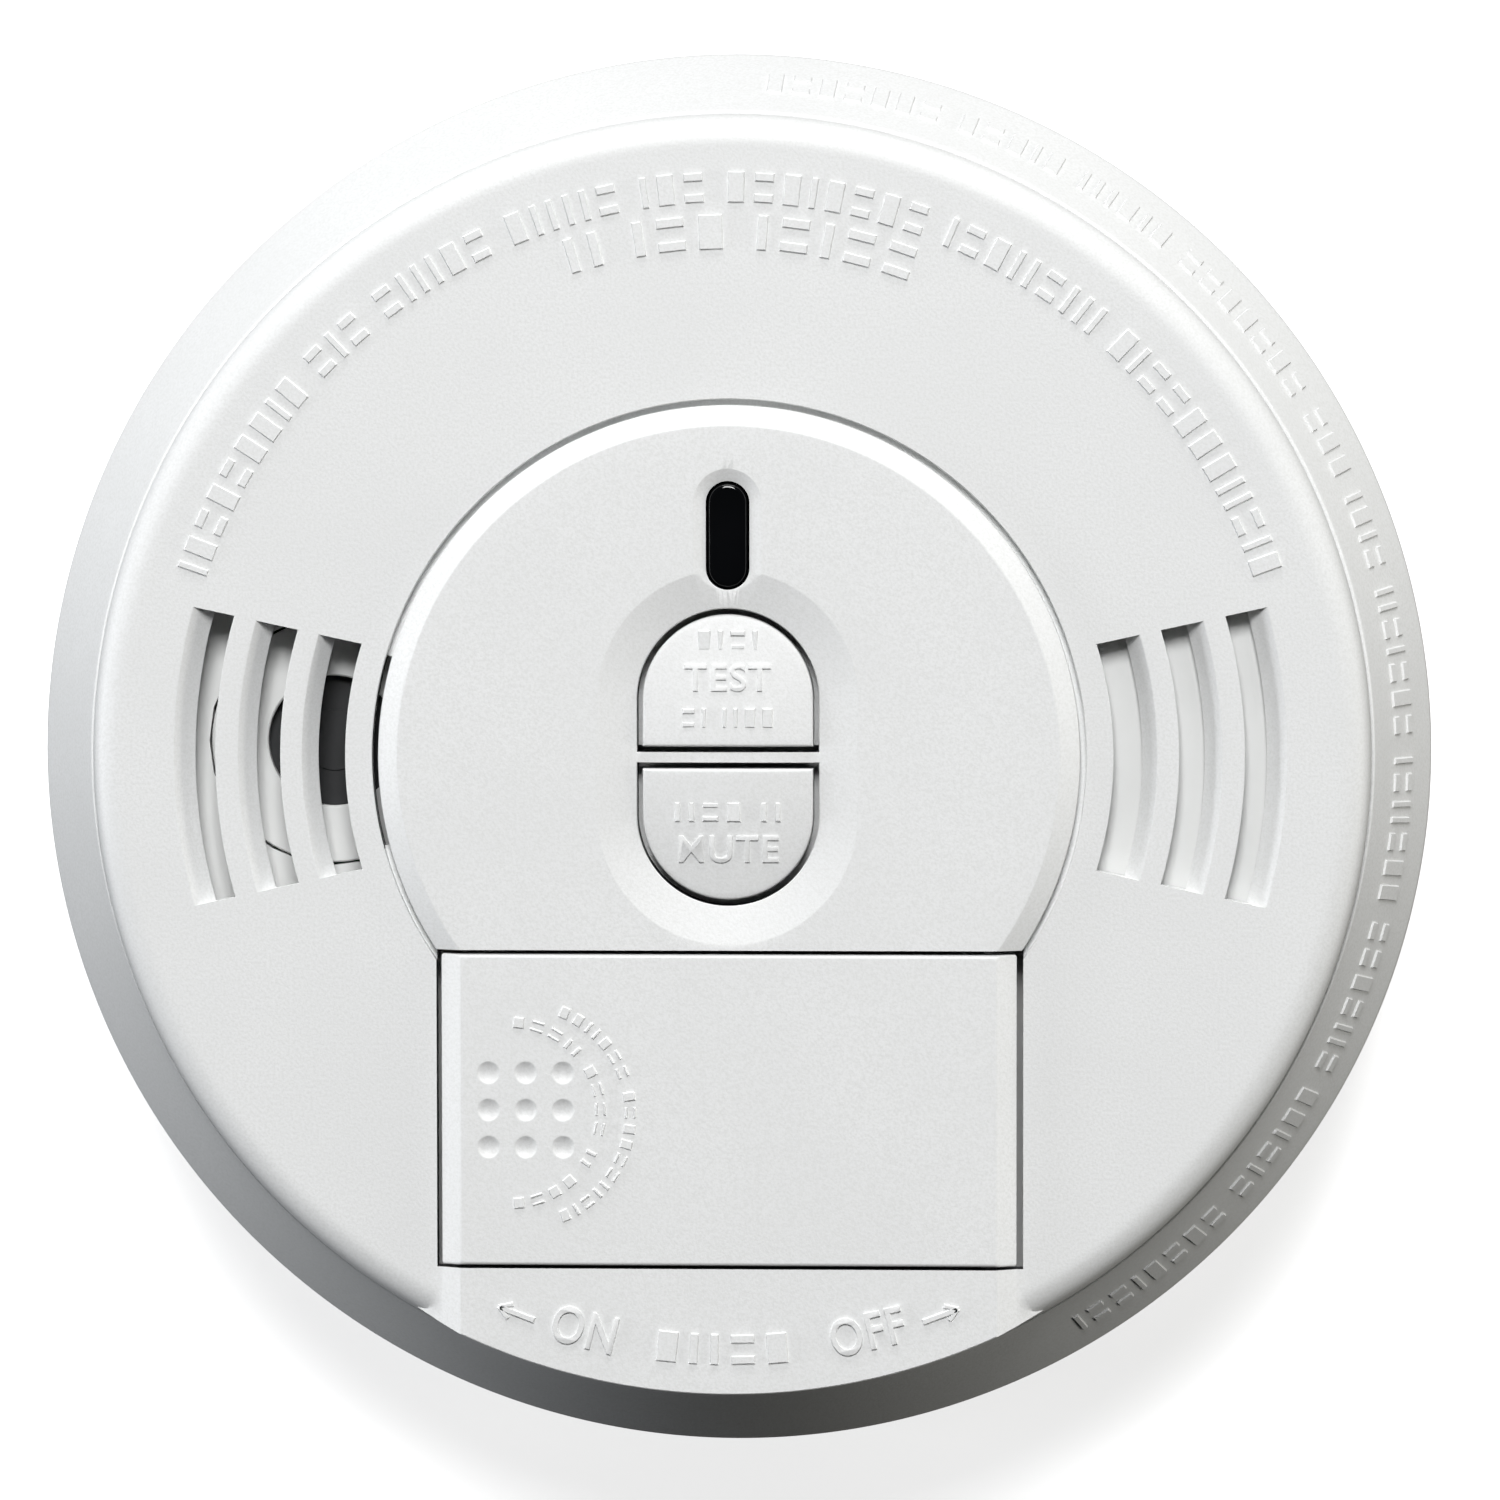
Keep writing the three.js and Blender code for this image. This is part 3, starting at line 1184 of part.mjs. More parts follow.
addPiece("chamber_base", "blackPlastic", chamberBase());
addPiece("chamber_can", "steel", chamberCan());
const plateZ = canBottom + COLLECTOR_RISE;
const plateTop = plateZ + COLLECTOR_THICKNESS;
const collector = bar(CHAMBER_X, CHAMBER_Y, COLLECTOR_RADIUS, plateZ, plateTop, MEDIUM_ROUND);
addPiece("collector_plate", "steel", collector);
const sourceHolder = bar(CHAMBER_X, CHAMBER_Y, SOURCE_RADIUS, partsZ, plateZ - FIT_GAP);
addPiece("source_holder", "steel", sourceHolder);

// ---------------------------------------------------------------- housing screws and label

/** A pan head screw, driven from the rear into one of the cover's posts. */
function housingScrew(angle) {
  const [x, y] = onCircle(screwCircle, angle);
  const seat = BACK_PLATE_Z + POCKET_DEPTH - FIT_GAP;
  const head = bar(x, y, SCREW_HEAD_RADIUS, seat - SCREW_HEAD_HEIGHT, seat);
  const shank = bar(x, y, SCREW_SHANK_RADIUS, seat - SCREW_HEAD_HEIGHT / 2, seat + SCREW_LENGTH);
  const low = seat - SCREW_HEAD_HEIGHT - CUT_MARGIN;
  const deep = SCREW_CROSS_DEPTH + CUT_MARGIN;
  const slots = [
    block(x, y, low, SCREW_CROSS_LENGTH, SCREW_CROSS_WIDTH, deep),
    block(x, y, low, SCREW_CROSS_WIDTH, SCREW_CROSS_LENGTH, deep),
  ];
  return cut(joined([head, shank]), slots);
}

SCREW_ANGLES.forEach((angle, i) => {
  addPiece(`housing_screw_${i + 1}`, "steel", housingScrew(angle));
});
const labelTop = BACK_PLATE_Z - FIT_GAP;
const label = block(0, LABEL_Y, labelTop - LABEL_THICKNESS, LABEL_WIDTH, LABEL_DEPTH, LABEL_THICKNESS);
addPiece("rating_label", "label", label);

export default alarm;
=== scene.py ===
"""Round white smoke alarm: the looks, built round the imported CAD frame.

Each sub-assembly is a class that holds its sizes in millimetres, models its pieces and dresses
them. The face looks along +Z, the battery door is at -Y, and the ceiling plane is z = 0.
"""

import json  # noqa: E402
import logging  # noqa: E402
import math  # noqa: E402
import random  # noqa: E402
from collections.abc import Callable, Sequence  # noqa: E402
from dataclasses import dataclass, field  # noqa: E402
from enum import Enum  # noqa: E402

import bmesh  # noqa: E402
import bpy  # noqa: E402
from mathutils import Euler, Matrix, Vector  # noqa: E402

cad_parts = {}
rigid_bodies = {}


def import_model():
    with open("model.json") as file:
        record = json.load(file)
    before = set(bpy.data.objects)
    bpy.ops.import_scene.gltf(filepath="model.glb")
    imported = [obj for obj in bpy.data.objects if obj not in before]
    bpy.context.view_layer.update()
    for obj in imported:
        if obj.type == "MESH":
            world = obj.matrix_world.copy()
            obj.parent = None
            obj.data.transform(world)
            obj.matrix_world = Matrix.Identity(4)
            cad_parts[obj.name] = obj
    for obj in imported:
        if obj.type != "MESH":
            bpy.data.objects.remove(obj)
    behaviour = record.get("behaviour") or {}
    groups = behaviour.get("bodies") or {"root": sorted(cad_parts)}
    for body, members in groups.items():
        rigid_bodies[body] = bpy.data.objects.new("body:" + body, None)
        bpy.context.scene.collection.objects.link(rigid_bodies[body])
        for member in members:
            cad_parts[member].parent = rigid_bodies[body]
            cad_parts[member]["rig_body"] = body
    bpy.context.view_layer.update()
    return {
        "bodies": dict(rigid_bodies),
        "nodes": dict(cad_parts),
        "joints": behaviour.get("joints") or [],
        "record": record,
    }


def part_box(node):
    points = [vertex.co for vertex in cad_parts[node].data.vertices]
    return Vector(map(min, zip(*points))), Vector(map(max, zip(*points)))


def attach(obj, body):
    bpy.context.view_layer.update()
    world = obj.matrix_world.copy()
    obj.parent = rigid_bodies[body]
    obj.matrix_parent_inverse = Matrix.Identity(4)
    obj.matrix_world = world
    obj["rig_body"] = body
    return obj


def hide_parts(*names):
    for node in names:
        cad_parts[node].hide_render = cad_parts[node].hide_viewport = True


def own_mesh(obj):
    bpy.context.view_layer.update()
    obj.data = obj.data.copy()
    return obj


logging.basicConfig(level=logging.INFO, format="%(message)s")
log = logging.getLogger("smoke_alarm")

MM = 0.001
MERGE = 1e-4  # mm, closer vertices are one
SMOOTH_ANGLE = math.radians(38)
FINE_ROUND = 288  # steps of the large shells
MEDIUM_ROUND = 96
SMALL_ROUND = 48

# Levels and radii shared by several pieces, mm.
FACE_Z = 43.5
RAISED_Z = 44.8
SEAM_Z = 39.5
COVER_UNDER_Z = 41.3
SHOULDER_Z = 28.0
OUTER_R = 73.0
SEAM_R = 66.6
DOOR_LEFT, DOOR_RIGHT = -29.75, 29.75
DOOR_TOP, DOOR_BOTTOM = -20.35, -52.65

Point = tuple[float, float]


class Body(Enum):
    """The CAD bodies that pieces ride on."""

    BRACKET = "bracket"
    ALARM = "alarm_body"
    DOOR = "battery_door"
    TEST = "test_button"
    SILENCE = "silence_button"
    TEST_PLUNGER = "test_plunger"
    SILENCE_PLUNGER = "silence_plunger"


class Cut(Enum):
    """What a second solid does to a piece."""

    REMOVE = "DIFFERENCE"
    ADD = "UNION"


# ---------------------------------------------------------------- materials


def linear(hex_colour: str) -> tuple[float, float, float, float]:
    """Turns an sRGB hex colour into linear values.

    Args:
        hex_colour: "#rrggbb".

    Returns:
        Red, green, blue and alpha.
    """
    values = [int(hex_colour[i : i + 2], 16) / 255 for i in (1, 3, 5)]
    rgb = [v / 12.92 if v <= 0.04045 else ((v + 0.055) / 1.055) ** 2.4 for v in values]
    return rgb[0], rgb[1], rgb[2], 1.0


def add_node(
    tree: bpy.types.NodeTree,
    kind: str,
    settings: dict | None = None,
    links: dict | None = None,
) -> bpy.types.Node:
    """Adds one node with its settings and links.

    Args:
        tree: The material's node tree.
        kind: The node's type name.
        settings: Property or input name to value.
        links: Input name or number to the output socket that feeds it.

    Returns:
        The new node.
    """
    node = tree.nodes.new(kind)
    for name, value in (settings or {}).items():
        if isinstance(name, str) and hasattr(node, name):
            setattr(node, name, value)
        else:
            node.inputs[name].default_value = value
    for name, socket in (links or {}).items():
        tree.links.new(socket, node.inputs[name])
    return node


@dataclass(frozen=True)
class Finish:
    """What every finish has: a name, two close colours, a roughness and a grain."""

    name: str
    colour: str
    second: str
    roughness: float
    metallic: float = 0.0
    ior: float = 1.5
    grain_mm: float = 0.4  # distance between grains
    relief_mm: float = 0.01  # height of the grain
    patch_mm: float = 14.0  # size of the soft colour patches
    roughness_spread: float = 0.06
    stretch: tuple[float, float, float] = (1.0, 1.0, 1.0)
    extra: dict = field(default_factory=dict)

    def material(self) -> bpy.types.Material:
        """Builds the material, once.

        Returns:
            The material.
        """
        found = bpy.data.materials.get(self.name)
        if found:
            return found
        made = bpy.data.materials.new(self.name)
        made.use_nodes = True
        tree = made.node_tree
        tree.nodes.clear()
        place = add_node(tree, "ShaderNodeTexCoord").outputs["Object"]
        mapped = add_node(
            tree, "ShaderNodeMapping", {"Scale": self.stretch}, {"Vector": place}
        ).outputs["Vector"]
        patches = add_node(
            tree,
            "ShaderNodeTexNoise",
            {"Scale": 1 / (self.patch_mm * MM), "Detail": 3.0},
            {"Vector": mapped},
        ).outputs["Fac"]
        grain = add_node(
            tree,
            "ShaderNodeTexNoise",
            {"Scale": 1 / (self.grain_mm * MM), "Detail": 2.0, "Roughness": 0.6},
            {"Vector": mapped},
        ).outputs["Fac"]
        colour = self.colours(tree, place, patches, grain)
        rough = add_node(
            tree,
            "ShaderNodeMapRange",
            {
                "To Min": max(self.roughness - self.roughness_spread, 0.02),
                "To Max": self.roughness + self.roughness_spread,
            },
            {"Value": grain},
        ).outputs["Result"]
        bump = add_node(
            tree,
            "ShaderNodeBump",
            {"Strength": 1.0, "Distance": self.relief_mm * MM},
            {"Height": grain},
        ).outputs["Normal"]
        values = {"Metallic": self.metallic, **self.extra}
        if not self.metallic:
            values["IOR"] = self.ior
        shader = add_node(
            tree,
            "ShaderNodeBsdfPrincipled",
            values,
            {"Base Color": colour, "Roughness": rough, "Normal": bump},
        )
        add_node(
            tree, "ShaderNodeOutputMaterial", {}, {"Surface": shader.outputs["BSDF"]}
        )
        return made

    def colours(
        self,
        tree: bpy.types.NodeTree,
        place: bpy.types.NodeSocket,
        patches: bpy.types.NodeSocket,
        grain: bpy.types.NodeSocket,
    ) -> bpy.types.NodeSocket:
        """The colour: two close tones in soft patches.

        Args:
            tree: The material's node tree.
            place: Object coordinates; not used here.
            patches: The slow noise.
            grain: The fine noise; not used here.

        Returns:
            The colour's socket.
        """
        ramp = add_node(tree, "ShaderNodeValToRGB", {}, {"Fac": patches})
        low, high = ramp.color_ramp.elements
        low.position, high.position = 0.35, 0.65
        low.color, high.color = linear(self.colour), linear(self.second)
        return ramp.outputs["Color"]


@dataclass(frozen=True)
class SparkErodedFinish(Finish):
    """A moulded skin with a fine grain whose low points carry painted shade: a darker colour than
    its tops.
    """

    pit_shade: str = "#e2e3e2"

    def colours(
        self,
        tree: bpy.types.NodeTree,
        place: bpy.types.NodeSocket,
        patches: bpy.types.NodeSocket,
        grain: bpy.types.NodeSocket,
    ) -> bpy.types.NodeSocket:
        """The patches, with painted shade darkening the grain's low points.

        Args:
            tree: The material's node tree.
            place: Object coordinates.
            patches: The slow noise.
            grain: The fine noise.

        Returns:
            The colour's socket.
        """
        base = super().colours(tree, place, patches, grain)
        # painted shade: the colour is darker where the grain's bump is low
        depth = add_node(
            tree,
            "ShaderNodeMapRange",
            {"From Min": 0.3, "From Max": 0.62, "To Min": 1.0, "To Max": 0.0},
            {"Value": grain},
        ).outputs["Result"]
        mix = add_node(
            tree,
            "ShaderNodeMix",
            {"data_type": "RGBA"},
            {0: depth, 6: base},
        )
        mix.inputs[7].default_value = linear(self.pit_shade)
        return mix.outputs[2]


@dataclass(frozen=True)
class BandedFinish(Finish):
    """A printed sleeve: a band of a second colour across it, measured along one axis."""

    band: str = "#c9862b"
    axis: int = 0
    edge_mm: float = 0.0  # where the band starts

    def colours(
        self,
        tree: bpy.types.NodeTree,
        place: bpy.types.NodeSocket,
        patches: bpy.types.NodeSocket,
        grain: bpy.types.NodeSocket,
    ) -> bpy.types.NodeSocket:
        """The sleeve's colour on one side of the edge, the band's on the other.

        Args:
            tree: The material's node tree.
            place: Object coordinates.
            patches: The slow noise.
            grain: The fine noise.

        Returns:
            The colour's socket.
        """
        base = super().colours(tree, place, patches, grain)
        split = add_node(tree, "ShaderNodeSeparateXYZ", {}, {0: place})
        step = add_node(
            tree,
            "ShaderNodeMapRange",
            {"From Min": (self.edge_mm - 0.05) * MM, "From Max": (self.edge_mm + 0.05) * MM},
            {"Value": split.outputs[self.axis]},
        ).outputs["Result"]
        mix = add_node(tree, "ShaderNodeMix", {"data_type": "RGBA"}, {0: step, 6: base})
        mix.inputs[7].default_value = linear(self.band)
        return mix.outputs[2]


@dataclass(frozen=True)
class BoardFinish(Finish):
    """A solder-masked board: tracks show as paler lines through the lacquer."""

    track: str = "#3f8a55"
    track_mm: float = 5.0

    def colours(
        self,
        tree: bpy.types.NodeTree,
        place: bpy.types.NodeSocket,
        patches: bpy.types.NodeSocket,
        grain: bpy.types.NodeSocket,
    ) -> bpy.types.NodeSocket:
        """The lacquer with a net of tracks.

        Args:
            tree: The material's node tree.
            place: Object coordinates.
            patches: The slow noise.
            grain: The fine noise.

        Returns:
            The colour's socket.
        """
        base = super().colours(tree, place, patches, grain)
        cells = add_node(
            tree,
            "ShaderNodeTexVoronoi",
            {
                "feature": "DISTANCE_TO_EDGE",
                "Scale": 1 / (self.track_mm * MM),
                "Randomness": 0.55,
            },
            {"Vector": place},
        ).outputs["Distance"]
        line = add_node(
            tree,
            "ShaderNodeMapRange",
            {"From Min": 0.08, "From Max": 0.11, "To Min": 1.0, "To Max": 0.0},
            {"Value": cells},
        ).outputs["Result"]
        mix = add_node(tree, "ShaderNodeMix", {"data_type": "RGBA"}, {0: line, 6: base})
        mix.inputs[7].default_value = linear(self.track)
        return mix.outputs[2]


# ABS, moulded in a spark-eroded tool: matte, with a fine even grain that softens every highlight.
# The real grain is about 0.1 mm; it is drawn at 0.3 mm so that it shows.
# The grain's low points are darkened with painted shade.
CASE = SparkErodedFinish(
    "abs_white_spark_eroded", "#eceded", "#e9eaea", 0.52, ior=1.53, grain_mm=0.3, relief_mm=0.018
)
# The same ABS from a smoother tool: a little more sheen and no grain to speak of.
INNER = Finish(
    "abs_white_satin_moulded", "#e4e5e4", "#dfe0df", 0.42, ior=1.53, grain_mm=0.8, relief_mm=0.006
)
# Smoked acrylic, polished: near black, with sharp reflections along its rounded edge.
LENS = Finish(
    "acrylic_smoked_polished",
    "#060708",
    "#0a0b0d",
    0.06,
    ior=1.49,
    grain_mm=4,
    relief_mm=0.002,
    roughness_spread=0.02,
)
# Black ABS, matte: the small electronic bodies. The same black is painted shade on the cover's
# opening walls and on the disc over the horn's hole.
BLACK_AND_PAINTED_SHADE = Finish("abs_black_matte_and_painted_shade", "#17181a", "#1f2022", 0.55, grain_mm=0.3, relief_mm=0.01)
# Zinc-plated steel: bright grey with a faint cloudy bloom.
STEEL = Finish(
    "steel_zinc_plated",
    "#b7babd",
    "#c9ccd0",
    0.3,
    metallic=1.0,
    grain_mm=0.6,
    relief_mm=0.003,
    patch_mm=2.5,
    roughness_spread=0.1,
)
# Brass strip, rolled: warm yellow with fine lines along the strip.
BRASS = Finish(
    "brass_rolled",
    "#c8a24c",
    "#d6b25e",
    0.28,
    metallic=1.0,
    grain_mm=0.5,
    relief_mm=0.003,
    patch_mm=3,
    stretch=(1.0, 1.0, 0.15),
)
# Fired ceramic, unglazed: off-white and chalky.
CERAMIC = Finish(
    "ceramic_unglazed", "#d8d4c6", "#cbc6b6", 0.75, grain_mm=0.35, relief_mm=0.02, patch_mm=4
)
# Glass-fibre board under green solder mask: satin, with paler tracks.
BOARD = BoardFinish(
    "board_green_solder_mask", "#1f5f38", "#256b40", 0.38, grain_mm=0.5, relief_mm=0.008
)
# The battery's printed steel jacket: dark body with a grey end band.
JACKET = BandedFinish(
    "battery_jacket_printed",
    "#232b34",
    "#2a333d",
    0.3,
    grain_mm=1.2,
    relief_mm=0.003,
    band="#a9b0b6",
    edge_mm=9.0,
)
# Cast epoxy lamp bodies, tinted and clear enough to glow a little at their edges.
RED_LAMP = Finish(
    "epoxy_red_cast",
    "#c4201c",
    "#d02a22",
    0.12,
    grain_mm=3,
    relief_mm=0.002,
    extra={"Transmission Weight": 0.5},
)
GREEN_LAMP = Finish(
    "epoxy_green_cast",
    "#239a48",
    "#2ba955",
    0.12,
    grain_mm=3,
    relief_mm=0.002,
    extra={"Transmission Weight": 0.5},
)
# Dipped epoxy coat: glossy with a slight orange-peel ripple.
DIPPED = Finish(
    "epoxy_dipped_red", "#a63224", "#b23a2a", 0.25, grain_mm=1.6, relief_mm=0.03, patch_mm=5
)
# Heat-shrunk PVC sleeve: blue, with a pale stripe up one side.
SLEEVE = BandedFinish(
    "pvc_sleeve_shrunk",
    "#20325c",
    "#263a68",
    0.32,
    grain_mm=1.0,
    relief_mm=0.006,
    band="#a9b2c4",
    edge_mm=-16.2,
)
# Enamelled copper wire, wound: fine rings round the coil.
COPPER = Finish(
    "copper_wire_enamelled",
    "#9a4f28",
    "#b4622f",
    0.3,
    metallic=1.0,
    grain_mm=0.45,
    relief_mm=0.12,
    patch_mm=0.6,
    stretch=(0.02, 0.02, 1.0),
)
# Polyester label film, blank: silvery white with a soft sheen.
FILM = Finish("polyester_label_film", "#d3d5d7", "#dcdee0", 0.35, grain_mm=0.7, relief_mm=0.002)

SLOT_FINISHES: dict[str, Finish] = {
    "white_case": CASE,
    "white_inner": INNER,
    "black_gloss": LENS,
    "black_plastic": BLACK_AND_PAINTED_SHADE,
    "steel": STEEL,
    "brass": BRASS,
    "ceramic": CERAMIC,
    "board": BOARD,
    "battery_jacket": JACKET,
    "red_lens": RED_LAMP,
    "green_lens": GREEN_LAMP,
    "red_epoxy": DIPPED,
    "capacitor_sleeve": SLEEVE,
    "copper_wire": COPPER,
    "label_film": FILM,
}


# ---------------------------------------------------------------- shaping


def arc(
    radius: float, start: float, end: float, steps: int, x: float = 0.0, y: float = 0.0
) -> list[Point]:
    """Points along an arc.

    Args:
        radius: The arc's radius.
        start: First angle, degrees.
        end: Last angle, degrees.
        steps: Pieces that the arc is divided into.
        x: The centre's x.
        y: The centre's y.

    Returns:
        steps + 1 points.
    """
    angles = [math.radians(start + (end - start) * i / steps) for i in range(steps + 1)]
    return [(x + radius * math.cos(a), y + radius * math.sin(a)) for a in angles]


def stadium(
    half_width: float, half_length: float, y: float = 0.0, steps: int = SMALL_ROUND
) -> list[Point]:
    """An upright stadium outline about x = 0.

    Args:
        half_width: Radius of the round ends.
        half_length: Middle to the end of the stadium.
        y: The middle's y.
        steps: Steps of each round end.

    Returns:
        The outline.
    """
    rise = half_length - half_width
    return [
        *arc(half_width, 0, 180, steps, 0, y + rise),
        *arc(half_width, 180, 360, steps, 0, y - rise),
    ]


def half_stadium(
    radius: float, flat_y: float, arc_y: float, side: int = 1, steps: int = 64
) -> list[Point]:
    """Half a stadium: flat at flat_y and round beyond arc_y.

    Args:
        radius: Half its width.
        flat_y: Distance of the flat from the middle.
        arc_y: Distance of the round end's centre from the middle.
        side: 1 for the upper half, -1 for the lower.
        steps: Steps of the round end.

    Returns:
        The outline.
    """
    rail = 6
    rise = [(radius, flat_y + (arc_y - flat_y) * i / rail) for i in range(rail)]
    fall = [(-x, y) for x, y in reversed(rise)]
    flat = [(-radius + 2 * radius * i / 12, flat_y) for i in range(1, 12)]
    outline = [*rise, *arc(radius, 0, 180, steps, 0, arc_y), *fall, *flat]
    return [(side * x, side * y) for x, y in outline]


def rectangle(x0: float, y0: float, x1: float, y1: float, corner: float = 0.0) -> list[Point]:
    """A rectangle, with rounded corners where a radius is given.

    Args:
        x0: Left.
        y0: Bottom.
        x1: Right.
        y1: Top.
        corner: Corner radius.

    Returns:
        The outline.
    """
    if corner <= 0:
        return [(x1, y1), (x0, y1), (x0, y0), (x1, y0)]
    steps = 4
    return [
        *arc(corner, 0, 90, steps, x1 - corner, y1 - corner),
        *arc(corner, 90, 180, steps, x0 + corner, y1 - corner),
        *arc(corner, 180, 270, steps, x0 + corner, y0 + corner),
        *arc(corner, 270, 360, steps, x1 - corner, y0 + corner),
    ]


def at_level(outline: Sequence[Point], z: float) -> list[Vector]:
    """An outline as points at one level."""
    return [Vector((x, y, z)) for x, y in outline]


def grown_from(
    vert: bmesh.types.BMVert, old: set[bmesh.types.BMVert], fresh: set[bmesh.types.BMEdge]
) -> bmesh.types.BMVert:
    """Finds the point that an extrusion made from another.

    Args:
        vert: The point that was extruded.
        old: All the points that were extruded.
        fresh: The new ring's edges.

    Returns:
        The new point.
    """
    for edge in vert.link_edges:
        other = edge.other_vert(vert)
        if edge in fresh or other in old:
            continue
        if any(link in fresh for link in other.link_edges):
            return other
    raise ValueError("nothing was extruded from this point")


def loft(rings: Sequence[Sequence[Vector]]) -> bmesh.types.BMesh:
    """A closed solid through a stack of rings with the same number of points.

    Args:
        rings: The rings, from one end to the other.

    Returns:
        The solid, its faces pointing outwards.
    """
    shape = bmesh.new()
    verts = [shape.verts.new(p) for p in rings[0]]
    edges = [shape.edges.new((a, b)) for a, b in zip(verts, verts[1:] + verts[:1])]
    bmesh.ops.contextual_create(shape, geom=edges)
    for ring in rings[1:]:
        grown = bmesh.ops.extrude_edge_only(shape, edges=edges)["geom"]
        fresh = {e for e in grown if isinstance(e, bmesh.types.BMEdge)}
        old = set(verts)
        verts = [grown_from(vert, old, fresh) for vert in verts]
        for vert, point in zip(verts, ring):
            vert.co = point
        top = set(verts)
        edges = [e for e in grown if e in fresh and top.issuperset(e.verts)]
    bmesh.ops.contextual_create(shape, geom=edges)
    bmesh.ops.remove_doubles(shape, verts=shape.verts, dist=MERGE)
    bmesh.ops.recalc_face_normals(shape, faces=shape.faces)
    return shape


def turned(
    profile: Sequence[Point], steps: int = FINE_ROUND, x: float = 0.0, y: float = 0.0
) -> bmesh.types.BMesh:
    """A closed profile turned about an upright axis.

    Args:
        profile: (radius, level) points in order. Ends on the axis are closed by the turn itself.
        steps: Steps of the full turn.
        x: The axis' x.
        y: The axis' y.

    Returns:
        The solid, its faces pointing outwards.
    """
    shape = bmesh.new()
    verts = [shape.verts.new((r, 0, z)) for r, z in profile]
    edges = [shape.edges.new(pair) for pair in zip(verts, verts[1:])]
    if profile[0][0] > 0 or profile[-1][0] > 0:
        edges.append(shape.edges.new((verts[-1], verts[0])))
    bmesh.ops.spin(
        shape,
        geom=[*verts, *edges],
        cent=(0, 0, 0),
        axis=(0, 0, 1),
        angle=2 * math.pi,
        steps=steps,
        use_merge=True,
    )
    bmesh.ops.remove_doubles(shape, verts=shape.verts, dist=MERGE)
    bmesh.ops.recalc_face_normals(shape, faces=shape.faces)
    bmesh.ops.translate(shape, verts=shape.verts, vec=(x, y, 0))
    return shape


def block(
    x0: float, y0: float, z0: float, x1: float, y1: float, z1: float, edge: float = 0.0
) -> bmesh.types.BMesh:
    """A box between two corners, its edges rounded where a width is given.

    Args:
        x0: Lowest x.
        y0: Lowest y.
        z0: Lowest z.
        x1: Highest x.
        y1: Highest y.
        z1: Highest z.
        edge: Width of the rounded edges.

    Returns:
        The solid.
    """
    shape = bmesh.new()
    centre = Matrix.Translation(((x0 + x1) / 2, (y0 + y1) / 2, (z0 + z1) / 2))
    size = Matrix.Diagonal((x1 - x0, y1 - y0, z1 - z0, 1))
    bmesh.ops.create_cube(shape, size=1, matrix=centre @ size)
    if edge > 0:
        round_edges(shape, shape.edges[:], edge)
    return shape


def round_edges(shape: bmesh.types.BMesh, edges: list, width: float, segments: int = 3) -> None:
    """Rounds some edges of a solid.

    Args:
        shape: The solid.
        edges: The edges to round.
        width: Width of the round, mm.
        segments: Faces across it.
    """
    bmesh.ops.bevel(
        shape,
        geom=edges,
        offset=width,
        segments=segments,
        profile=0.5,
        affect="EDGES",
        material=-1,
        clamp_overlap=True,
    )


def to_object(shape: bmesh.types.BMesh, name: str) -> bpy.types.Object:
    """Turns a bmesh into an object, and frees it.

    Args:
        shape: The model, in millimetres.
        name: The piece's name.

    Returns:
        The new object.
    """
    mesh = bpy.data.meshes.new(name)
    shape.to_mesh(mesh)
    shape.free()
    made = bpy.data.objects.new(name, mesh)
    bpy.context.scene.collection.objects.link(made)
    return made


def settle(piece: bpy.types.Object) -> None:
    """Applies the piece's modifiers to its mesh."""
    graph = bpy.context.evaluated_depsgraph_get()
    mesh = bpy.data.meshes.new_from_object(piece.evaluated_get(graph))
    piece.modifiers.clear()
    old, piece.data = piece.data, mesh
    mesh.name = piece.name
    bpy.data.meshes.remove(old)


def combine(piece: bpy.types.Object, tool: bmesh.types.BMesh, what: Cut) -> None:
    """Cuts a solid out of a piece, or adds it.

    Args:
        piece: The piece that changes.
        tool: The second solid, which is used up.
        what: What it does.
    """
    cutter = to_object(tool, "tool")
    step = piece.modifiers.new("step", "BOOLEAN")
    step.operation = what.value
    step.solver = "EXACT"
    step.object = cutter
    settle(piece)
    mesh = cutter.data
    bpy.data.objects.remove(cutter)
    bpy.data.meshes.remove(mesh)


def finish_piece(
    piece: bpy.types.Object,
    finish: Finish,
    body: Body,
    slot: str,
    replaces: Sequence[str] = (),
    smooth: float = SMOOTH_ANGLE,
) -> bpy.types.Object:
    """Scales a piece to metres, shades it, dresses it and hands it to its body.

    Args:
        piece: The piece, in millimetres.
        finish: Its finish.
        body: The body that it rides on.
        slot: The record's material slot; not used.
        replaces: CAD nodes that it stands for.
        smooth: Edges flatter than this angle are shaded smooth.

    Returns:
        The piece.
    """
    mesh = piece.data
    mesh.transform(Matrix.Scale(MM, 4))
    mesh.polygons.foreach_set("use_smooth", [True] * len(mesh.polygons))
    mesh.set_sharp_from_angle(angle=smooth)
    mesh.materials.clear()
    mesh.materials.append(finish.material())
    mesh.update()
    weighted = piece.modifiers.new("even_shading", "WEIGHTED_NORMAL")
    weighted.keep_sharp = True
    weighted.weight = 100
    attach(piece, body.value)
    if replaces:
        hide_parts(*replaces)
    log.info("%s: %d faces on %s", piece.name, len(mesh.polygons), body.value)
    return piece


# ---------------------------------------------------------------- raised marks


class Cell(Enum):
    """One place in a row of marks, with its width as a share of the row's unit."""

    TICK = 0.42
    SLAB = 0.95
    PAIR = 1.1


